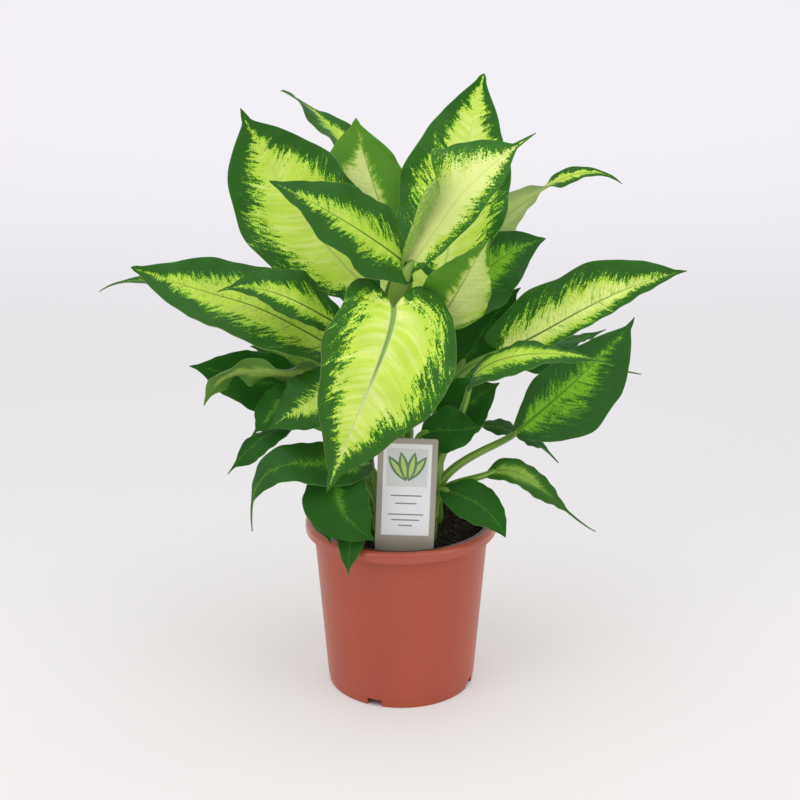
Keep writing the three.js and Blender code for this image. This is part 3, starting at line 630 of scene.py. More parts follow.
@dataclass(frozen=True)
class CardPrint:
    """Printed face of the plant label: a pale panel with a leaf fan over short rules, and a bare taupe foot.

    The vector attribute card_place holds the place on the card, across and up from the soil in metres, and
    1 on the printed side or 0 on the back. Each leaf of the fan has a place to the side and a lean in
    degrees, and each rule a height and a half length.
    """

    name: str = "label_print"
    border: Colour = colour(158, 150, 134)
    panel: Colour = colour(234, 234, 234)
    tint: Colour = colour(212, 214, 210)
    rule: Colour = colour(122, 120, 116)
    leaf_dark: Colour = colour(74, 118, 58)
    leaf_pale: Colour = colour(178, 206, 92)
    half_width: float = 0.025
    top: float = 0.109
    frame_width: float = 0.0048
    foot: float = 0.022
    ink_edge: float = 0.00015
    fan_drop: float = 0.021
    fan_half_height: float = 0.017
    fan_spread: float = 0.0085
    fan_leaves: tuple[Pair, ...] = ((-1.0, 34.0), (1.0, -34.0), (-0.35, 12.0), (0.45, -10.0))
    rules: tuple[Pair, ...] = (
        (0.058, 0.013), (0.051, 0.009), (0.041, 0.015), (0.036, 0.012), (0.031, 0.006),
    )
    rule_half_height: float = 0.0006

    def _box(self, shader: Shader, x: Signal, z: Signal, middle: Pair, half: Pair) -> Signal:
        """Gives 1 inside an upright box and 0 outside."""
        off_x = shader.math("ABSOLUTE", x - middle[0])
        off_z = shader.math("ABSOLUTE", z - middle[1])
        beside = shader.smooth(off_x, half[0] - self.ink_edge, half[0] + self.ink_edge)
        above = shader.smooth(off_z, half[1] - self.ink_edge, half[1] + self.ink_edge)
        return (1.0 - beside) * (1.0 - above)

    @staticmethod
    def _leaf(shader: Shader, x: Signal, z: Signal, middle: Pair, half: Pair, lean: float) -> Signal:
        """Gives 1 inside a pointed leaf shape that leans by that many degrees."""
        c, s = math.cos(math.radians(lean)), math.sin(math.radians(lean))
        out = ((x - middle[0]) * c + (z - middle[1]) * s) / half[0]
        up = ((z - middle[1]) * c - (x - middle[0]) * s) / half[1]
        inside = 1.0 - up * up - shader.math("ABSOLUTE", out)
        return shader.smooth(inside, 0.0, 0.05)

    def build(self) -> bpy.types.Material:
        """Makes the material."""
        shader = Shader(self.name)
        x, z, front = shader.split(shader.attribute("card_place"))
        inner = self.half_width - self.frame_width
        panel_top = self.top - self.frame_width
        panel_half = (panel_top - self.foot) / 2.0
        panel = self._box(shader, x, z, (0.0, self.foot + panel_half), (inner, panel_half))
        ink = shader.mix(panel, self.border, self.panel)
        fan = panel_top - self.fan_drop
        field_half = (inner - 0.003, self.fan_half_height)
        ink = shader.mix(self._box(shader, x, z, (0.0, fan), field_half), ink, self.tint)
        for side, lean in self.fan_leaves:
            middle = (side * self.fan_spread, fan - 0.001 + (1.0 - abs(side)) * 0.003)
            ink = shader.mix(self._leaf(shader, x, z, middle, (0.0042, 0.0135), lean), ink, self.leaf_dark)
            ink = shader.mix(self._leaf(shader, x, z, middle, (0.002, 0.0105), lean), ink, self.leaf_pale)
        for level, half in self.rules:
            line = self._box(shader, x, z, (0.0, level), (half, self.rule_half_height))
            ink = shader.mix(line, ink, self.rule)
        ink = shader.mix(front, self.border, ink)
        haze = shader.noise(shader.object_place(), 60.0, 3.0)
        ink = shader.mix(haze * 0.12, ink, self.panel)
        return shader.finish(
            Base_Color=ink, Roughness=(haze - 0.5) * 0.12 + 0.34, Normal=shader.bump(haze, 0.04, 0.0004))


@dataclass(frozen=True)
class StudioPaper:
    """Finish of the plain pale floor and backdrop."""

    name: str = "studio_paper"
    tone: Colour = (0.57, 0.56, 0.547, 1.0)
    middle_tone: Colour = (0.535, 0.527, 0.53, 1.0)
    far_tone: Colour = (0.645, 0.632, 0.655, 1.0)
    own_light: float = 0.55
    pot_foot: float = 0.066

    def build(self) -> bpy.types.Material:
        """Makes the material: lit a little through the paper but not under the pot, cooler at the back."""
        shader = Shader(self.name)
        place = shader.object_place()
        x, y, _ = shader.split(place)
        tone = shader.mix(shader.smooth(y, 0.05, 0.6), self.tone, self.middle_tone)
        tone = shader.mix(shader.smooth(y, 0.9, 2.6), tone, self.far_tone)
        off_axis = shader.math("SQRT", x * x + y * y)
        glow = shader.mix(shader.smooth(off_axis, self.pot_foot - 0.006, self.pot_foot + 0.002), BLACK, tone)
        fibre = shader.noise(place, 30.0, 2.0)
        return shader.finish(
            Base_Color=tone, Roughness=(fibre - 0.5) * 0.1 + 0.8, Specular_IOR_Level=0.1,
            Emission_Color=glow, Emission_Strength=self.own_light)


@dataclass(frozen=True)
class Variegation:
    """Where the pale centre of a blade lies.

    left and right are its half widths as shares of the blade's, seen from the stalk with the upper side up.
    It starts at start, narrows from fade on and ends at end, as shares of the length. cream says how far its
    middle turns from yellow-green to cream.
    """

    left: float = 0.6
    right: float = 0.6
    start: float = 0.02
    fade: float = 0.55
    end: float = 0.95
    cream: float = 0.35

    def pale_field(self, length_share: np.ndarray, side_share: np.ndarray) -> np.ndarray:
        """Gives how far a place lies inside the pale centre, below 0 outside it."""
        spread = np.where(side_share < 0, self.left, self.right)
        rise = smooth_step(length_share, self.start - 0.12, self.start + 0.12)
        fall = 1.0 - np.clip((length_share - self.fade) / (self.end - self.fade), 0.0, 1.3) ** 1.4
        return spread * rise * fall - np.abs(side_share) - 0.12 * (1.0 - rise)

    def cream_field(self, length_share: np.ndarray, side_share: np.ndarray) -> np.ndarray:
        """Gives how creamy a place is, before noise."""
        spread = np.where(side_share < 0, self.left, self.right)
        inner = 1.0 - np.abs(side_share) / np.maximum(spread, 0.05)
        return self.cream * (0.45 + inner) * (1.0 - 0.6 * smooth_step(length_share, 0.6, 1.0))


@dataclass(frozen=True)
class Flap:
    """The left half of a blade folded over on itself from the stalk up to end, a share of the length.

    at and span say where the fold lies and how wide it is, as shares of the half.
    """

    angle: float
    at: float
    span: float
    end: float
    fade: float = 0.1

    def turned(self, length_share: np.ndarray, side: np.ndarray) -> np.ndarray:
        """Gives the angle in radians by which a place has been turned."""
        along = 1.0 - smooth_step(length_share, self.end - self.fade, self.end + self.fade)
        across = smooth_step(np.abs(side), self.at - self.span / 2.0, self.at + self.span / 2.0)
        return math.radians(self.angle) * along * across * (side < 0)


@dataclass(frozen=True)
class Blade:
    """One leaf blade, swept along its midrib.

    The midrib's four points run from the stalk to the tip. face is the way the upper side looks at the
    stalk, and face_tip at the tip. widest is the share of the length where the blade is widest, and shoulder
    the width at the stalk as a share of that. swell and full shape the outline before and after it, drip
    says how long the tip is drawn out, lobe how far the margin reaches back past the stalk, and skew by what
    share the right half is wider and the left one narrower. In degrees, fold lifts both halves, curl bends
    them down again and roll turns them about the midrib. wave is the height of the ripple in metres, and
    waves the number of its turns. arrive is the way the stalk comes in, if it isn't the midrib's own, and
    sheath widens the stalk.
    """

    name: str
    midrib: tuple[Point, Point, Point, Point]
    width: float
    face: Point
    skin: str
    paint: Variegation
    face_tip: Point | None = None
    widest: float = 0.4
    shoulder: float = 0.1
    swell: float = 0.65
    full: float = 1.8
    drip: float = 0.1
    lobe: float = 0.06
    skew: float = 0.0
    fold: float = 8.0
    curl: float = 15.0
    roll: float = 0.0
    roll_tip: float | None = None
    wave: float = 0.002
    waves: float = 2.6
    flap: Flap | None = None
    arrive: Point | None = None
    sheath: float = 0.0

    @property
    def number(self) -> int:
        """Place in the row of leaves, from 0, which sets the phase of the waves."""
        return int(self.name[-2:]) - 1

    def centre_line(self, samples: int = 240) -> tuple[np.ndarray, np.ndarray, float]:
        """Samples the cubic curve through the four midrib points evenly by length.

        Args:
            samples: Number of steps along the curve.

        Returns:
            Points and tangents at equal steps of length, and the length.
        """
        first, second, third, last = (np.array(point) for point in self.midrib)
        leave = (-5.0 * first + 18.0 * second - 9.0 * third + 2.0 * last) / 6.0
        arrive = (2.0 * first - 9.0 * second + 18.0 * third - 5.0 * last) / 6.0
        t = np.linspace(0.0, 1.0, samples + 1)[:, None]
        curve = cubic(t, (first, leave, arrive, last))
        steps = np.linalg.norm(np.diff(curve, axis=0), axis=1)
        reach = np.concatenate([[0.0], np.cumsum(steps)])
        even = np.linspace(0.0, reach[-1], samples + 1)
        points = np.stack([np.interp(even, reach, curve[:, axis]) for axis in range(3)], -1)
        return points, unit(np.gradient(points, axis=0)), float(reach[-1])

    def width_share(self, share: np.ndarray) -> np.ndarray:
        """Gives the half width at a share of the length, as a share of the greatest."""
        rise = np.sin(0.5 * np.pi * np.clip(share / self.widest, 0.0, 1.0)) ** self.swell
        rise = self.shoulder + (1.0 - self.shoulder) * rise
        past = np.clip((share - self.widest) / (1.0 - self.widest), 0.0, 1.0)
        body = 1.0 - np.clip(past / (1.0 - self.drip), 0.0, 1.0) ** self.full
        thread = 0.075 * np.clip((1.0 - past) / self.drip, 0.0, 1.0) ** 0.8 * np.clip(2.0 * past, 0.0, 1.0)
        return np.where(share < self.widest, rise, np.hypot(body, thread))


@dataclass
class BladeShop:
    """Makes leaf blades: thin, waved, grooved along the midrib above and keeled below.

    The first phase of the outline's wobble and of the ripple goes with the blade's number, and the second
    sets off the left half. vein_starts keeps the veins of the two halves apart.
    """

    thickness: float = 0.001
    hem_thickness: float = 0.0004
    keel_depth: float = 0.0018
    keel_half_width: float = 0.003
    groove_depth: float = 0.0007
    tip_half_width: float = 0.0003
    step_along: float = 0.0019
    step_across: float = 0.0023
    wobble: float = 0.03
    wobble_turns: float = 3.7
    wobble_phases: Pair = (0.53, 2.3)
    ripple_phases: Pair = (0.37, 1.9)
    section_steps: int = 24
    vein_share: float = 0.062
    vein_lean: float = 0.42
    vein_bend: float = 0.5
    vein_starts: Pair = (41.3, 12.7)
    quilt_depth: float = 0.0001
    ruffle: float = 0.0006
    sag: float = 0.0006
    rib_columns: tuple[float, ...] = (0.0, 0.15, 0.32, 0.52, 0.76, 1.0)
    hem_columns: tuple[float, ...] = (0.985, 1.0)
    skins: dict[str, bpy.types.Material] = field(default_factory=dict)

    def _side_shares(self, blade: Blade, reach: np.ndarray) -> np.ndarray:
        """Gives the columns of each row as shares of its half width, from the left margin to the right."""
        keel = np.minimum(self.keel_half_width / reach, 0.3)[:, None]
        near = keel * np.array(self.rib_columns)
        count = max(5, round(blade.width / 2.0 / self.step_across))
        spread = np.linspace(0.0, 1.0, count + 1)[1:]
        far = keel + (self.hem_columns[0] - keel) * spread
        half = np.concatenate([near, far, np.full_like(keel, self.hem_columns[1])], 1)
        return np.concatenate([-half[:, :0:-1], half], 1)

    def surface(self, blade: Blade) -> tuple[np.ndarray, dict[str, np.ndarray]]:
        """Lays out the middle surface of the blade.

        Args:
            blade: The blade to lay out.

        Returns:
            A grid of points, and the shares and distances that the finish reads.
        """
        points, tangents, length = blade.centre_line()
        rows = max(12, round(length / self.step_along))
        share = np.linspace(0.0, 1.0, rows + 1)
        half = blade.width / 2.0
        reach = np.maximum(half * blade.width_share(share), self.tip_half_width)
        side = self._side_shares(blade, reach)
        row_share = np.repeat(share[:, None], side.shape[1], 1)
        swept = row_share - blade.lobe * np.sin(0.5 * np.pi * np.abs(side)) * (1.0 - row_share) ** 5
        along = np.clip(swept, 0.0, 1.0)
        place = along * (len(points) - 1)
        index = np.arange(len(points))
        centre = np.stack([np.interp(place, index, points[:, axis]) for axis in range(3)], -1)
        tangent = unit(np.stack([np.interp(place, index, tangents[:, axis]) for axis in range(3)], -1))
        centre = centre + tangent * ((swept - along) * length)[..., None]
        face = unit(np.array(blade.face))
        face_tip = unit(np.array(blade.face_tip or blade.face))
        wanted = face + (face_tip - face) * along[..., None]
        up = unit(wanted - (wanted * tangent).sum(-1, keepdims=True) * tangent)
        out = np.cross(tangent, up)
        roll_tip = blade.roll if blade.roll_tip is None else blade.roll_tip
        roll = np.radians(blade.roll + (roll_tip - blade.roll) * along)[..., None]
        up, out = up * np.cos(roll) + out * np.sin(roll), out * np.cos(roll) - up * np.sin(roll)
        hand = np.sign(side)
        wobble = self._wave(blade, row_share, side, self.wobble_turns, self.wobble_phases)
        across = reach[:, None] * np.abs(side) * (1.0 + hand * blade.skew) * (1.0 + self.wobble * wobble)
        lateral, rise = self._half_section(blade, row_share, side, across)
        ripple = self._wave(blade, row_share, side, blade.waves, self.ripple_phases)
        lift = blade.wave * ripple * side**2 * np.clip(1.6 * across / half, 0.0, 1.0)
        grid = centre + out * (hand * lateral)[..., None] + up * (rise + lift)[..., None]
        vein = self._vein_number(blade, row_share * length, across, hand)
        facts = {
            "length_share": row_share, "side": side, "across": across, "along": row_share * length,
            "vein": vein, "reach": np.repeat(reach[:, None], side.shape[1], 1),
        }
        return grid, facts

    @staticmethod
    def _wave(
        blade: Blade, length_share: np.ndarray, side: np.ndarray, turns: float, phases: Pair
    ) -> np.ndarray:
        """Gives a sine wave along the blade, from -1 to 1, with its own phase on each blade and half."""
        turn = 2.0 * np.pi * (turns * length_share + phases[0] * blade.number)
        return np.sin(turn + np.where(side < 0, phases[1], 0.0))

    def _half_section(
        self, blade: Blade, length_share: np.ndarray, side: np.ndarray, across: np.ndarray
    ) -> tuple[np.ndarray, np.ndarray]:
        """Follows each half blade's bent section from the midrib out to each place.

        Args:
            blade: The blade.
            length_share: Share of the length of each place.
            side: Share of the half width of each place, below 0 on the left.
            across: Distance of each place from the midrib, along the section.

        Returns:
            How far each place lies beside the midrib, and how far above it.
        """
        lateral, rise = np.zeros_like(across), np.zeros_like(across)
        fold, curl = math.radians(blade.fold), math.radians(blade.curl)
        for step in range(self.section_steps):
            share = (step + 0.5) / self.section_steps
            angle = fold - curl * share * across / (blade.width / 2.0)
            if blade.flap:
                angle = angle + blade.flap.turned(length_share, side * share)
            lateral += across * np.cos(angle) / self.section_steps
            rise += across * np.sin(angle) / self.section_steps
        return lateral, rise

    def _vein_number(
        self, blade: Blade, along: np.ndarray, across: np.ndarray, hand: np.ndarray
    ) -> np.ndarray:
        """Numbers the lateral veins, which leave the midrib and bend towards the tip."""
        half = blade.width / 2.0
        start = along - self.vein_lean * across - self.vein_bend * across**2 / half
        spacing = self.vein_share * max(blade.width, 0.05)
        return start / spacing + np.where(hand < 0, *self.vein_starts)

    def _relief(self, blade: Blade, facts: dict[str, np.ndarray]) -> np.ndarray:
        """Gives the height of the quilting between veins and of the fine ruffle along the margin."""
        side = np.abs(facts["side"])
        room = np.clip(facts["reach"] / (0.25 * blade.width), 0.0, 1.0)
        off_vein = np.abs(facts["vein"] % 1.0 - 0.5) * 2.0
        quilt = -self.quilt_depth * smooth_step(off_vein, 0.55, 1.0) * smooth_step(side, 0.02, 0.2)
        quilt *= (1.0 - smooth_step(side, 0.8, 1.0)) * room
        turns = 9.0 * facts["length_share"] + 0.61 * blade.number + np.where(facts["side"] < 0, 0.4, 0.0)
        ruffle = self.ruffle * np.sin(2.0 * np.pi * turns) * side**5 * room
        sag = self.sag * np.sin(3.1 * facts["length_share"] * np.pi + blade.number) * side * room
        return quilt + ruffle + sag

    def make(self, blade: Blade) -> bpy.types.Object:
        """Builds one blade as a closed thin body.

        Args:
            blade: The blade to build.

        Returns:
            The dressed object.
        """
        grid, facts = self.surface(blade)
        normal = unit(np.cross(np.gradient(grid, axis=0), np.gradient(grid, axis=1)))
        reference = unit(np.array(blade.face))
        if (normal[: len(normal) // 2] @ reference).mean() < 0:
            normal = -normal
        grid = grid + normal * self._relief(blade, facts)[..., None]
        side = np.abs(facts["side"])
        gone = facts["length_share"]
        skin = self.hem_thickness + (self.thickness - self.hem_thickness) * (1.0 - side**4)
        rib_width = self.keel_half_width * (1.0 - 0.75 * gone)
        bulge = np.exp(-((facts["across"] / (0.55 * rib_width)) ** 2)) * (1.0 - gone) ** 0.7
        notch = np.exp(-((facts["across"] / (0.38 * rib_width)) ** 2)) * (1.0 - gone) ** 0.5
        upper = grid + normal * (skin / 2.0 - self.groove_depth * notch)[..., None]
        lower = grid - normal * (skin / 2.0 + self.keel_depth * bulge)[..., None]
        mesh = self._close(blade.name, upper, lower)
        self._store_facts(mesh, blade, facts)
        return add_object(f"{blade.name}_blade", mesh, self.skins[blade.skin])

    @staticmethod
    def _close(name: str, upper: np.ndarray, lower: np.ndarray) -> bpy.types.Mesh:
        """Joins the upper and lower grids at their rims, with the faces pointing out."""
        rows, columns = upper.shape[:2]
        count = rows * columns
        top = grid_faces(rows, columns)
        bottom = grid_faces(rows, columns, count)[:, ::-1]
        rim = np.concatenate([
            np.arange(columns), np.arange(1, rows) * columns + columns - 1,
            (rows - 1) * columns + np.arange(columns - 2, -1, -1), np.arange(rows - 2, 0, -1) * columns,
        ])
        after = np.roll(rim, -1)
        walls = np.stack([after, rim, rim + count, after + count], -1)
        points = np.concatenate([upper.reshape(-1, 3), lower.reshape(-1, 3)])
        faces = np.concatenate([top, bottom, walls])
        first = points[faces[0]]
        facing = np.cross(first[1] - first[0], first[2] - first[0])
        if facing @ (points[0] - points[count]) < 0:
            faces = faces[:, ::-1]
        return new_mesh(name, points, faces.tolist(), smooth=True)

    @staticmethod
    def _store_facts(mesh: bpy.types.Mesh, blade: Blade, facts: dict[str, np.ndarray]) -> None:
        """Stores what the finish reads, for the upper and the lower side."""
        gone, side = facts["length_share"], facts["side"]
        place = np.stack([facts["along"], facts["across"], facts["vein"]], -1).reshape(-1, 3)
        share = np.stack([gone, np.abs(side), np.zeros_like(gone)], -1).reshape(-1, 3)
        seed = np.full_like(gone, 5.3 * blade.number)
        pale, cream = blade.paint.pale_field(gone, side), blade.paint.cream_field(gone, side)
        paint = np.stack([pale, cream, seed], -1).reshape(-1, 3)
        add_vectors(mesh, "blade_place", np.concatenate([place, place]))
        add_vectors(mesh, "blade_share", np.concatenate([share, share + [0.0, 0.0, 1.0]]))
        add_vectors(mesh, "blade_paint", np.concatenate([paint, paint]))


DARK_RIB = Midrib(width=0.0011, base=colour(62, 104, 30), tip=colour(120, 154, 66), turn=(0.45, 0.85))
PLAIN_RIB = Midrib(width=0.001, base=colour(74, 120, 42), tip=colour(84, 130, 50), strength=0.45)
GREEN_RIB = Midrib(
    width=0.0024, base=colour(118, 158, 50), tip=colour(204, 212, 158), turn=(0.3, 0.5), halo=0.7,
)
LIGHT_RIB = Midrib(
    width=0.0011, base=colour(158, 188, 76), tip=colour(180, 204, 92), halo=0.15, strength=0.5,
)

BRIGHT_SKIN = LeafSkin(
    "bright", pale=colour(190, 220, 74), cream=colour(216, 230, 132), rib=LIGHT_RIB,
)

LEAF_SKINS = (
    BRIGHT_SKIN,
    # The sunlit copy glows more: more painted light on the same bright skin.
    replace(BRIGHT_SKIN, name="sunlit", glow=0.2),
    LeafSkin(
        "lime", dark=colour(50, 102, 28), pale=colour(194, 224, 74), cream=colour(224, 238, 142),
        vein=colour(226, 236, 156), rib=GREEN_RIB,
    ),
    LeafSkin(
        "creamy", dark=colour(56, 114, 34), middle=colour(92, 154, 38), pale=colour(196, 224, 76),
        cream=colour(226, 238, 148), vein=colour(206, 226, 112), under=colour(176, 200, 104),
        margin=Margin.SPECKLED, glow=0.02,
        rib=Midrib(width=0.001, base=colour(206, 220, 128), tip=colour(190, 210, 110), strength=0.4),
    ),
    LeafSkin(
        "streaked", pale=colour(192, 218, 78), cream=colour(224, 236, 142), streaks=0.8,
        vein=colour(150, 190, 66), rib=DARK_RIB,
    ),
    LeafSkin(
        "thin", pale=colour(190, 216, 78), cream=colour(216, 230, 118), vein=colour(150, 190, 66),
        under=colour(176, 196, 122), under_share=0.75, rib=DARK_RIB,
    ),
    LeafSkin("feather", pale=colour(174, 210, 64), cream=colour(208, 226, 106), rib=DARK_RIB),
    LeafSkin(
        "dusky", dark=colour(42, 90, 30), middle=colour(56, 112, 28), bright=colour(86, 150, 32),
        pale=colour(124, 182, 40), cream=colour(166, 204, 66), contrast=0.5,
        rib=Midrib(width=0.0013, base=colour(84, 132, 36), tip=colour(96, 144, 40), turn=(0.4, 0.9)),
    ),
    LeafSkin(
        "plain", dark=colour(38, 90, 26), middle=colour(44, 102, 28), bright=colour(58, 120, 30),
        pale=colour(76, 136, 34), cream=colour(100, 152, 44), margin=Margin.SOFT, rib=PLAIN_RIB,
        vein_depth=0.06, roughness=0.56, shine=0.08,
    ),
    LeafSkin(
        "olive", dark=colour(50, 98, 28), middle=colour(72, 120, 34), bright=colour(100, 142, 46),
        pale=colour(126, 162, 62), cream=colour(158, 184, 90), margin=Margin.SOFT, rib=PLAIN_RIB,
        vein_depth=0.1, roughness=0.54, shine=0.1, contrast=0.5,
    ),
    LeafSkin(
        "backturned", dark=colour(66, 116, 36), middle=colour(90, 136, 42), bright=colour(120, 158, 56),
        pale=colour(152, 182, 76), cream=colour(184, 204, 116), vein=colour(176, 198, 96),
        under=colour(114, 146, 66), under_share=0.35, margin=Margin.SOFT,
        rib=Midrib(width=0.0009, base=colour(84, 120, 40), tip=colour(96, 134, 50)),
    ),
    LeafSkin(
        "young", dark=colour(84, 138, 38), middle=colour(108, 156, 44), bright=colour(138, 176, 58),
        pale=colour(176, 202, 90), cream=colour(208, 220, 138), streaks=0.3, margin=Margin.SOFT,
        rib=Midrib(width=0.0011, base=colour(120, 150, 56), tip=colour(110, 150, 50), strength=0.6),
    ),
)

PLAIN = Variegation(left=-0.02, right=-0.02, start=0.0, fade=0.3, end=0.9, cream=0.0)
NARROW = Variegation(left=0.42, right=0.42, start=0.04, fade=0.45, end=0.92, cream=0.15)

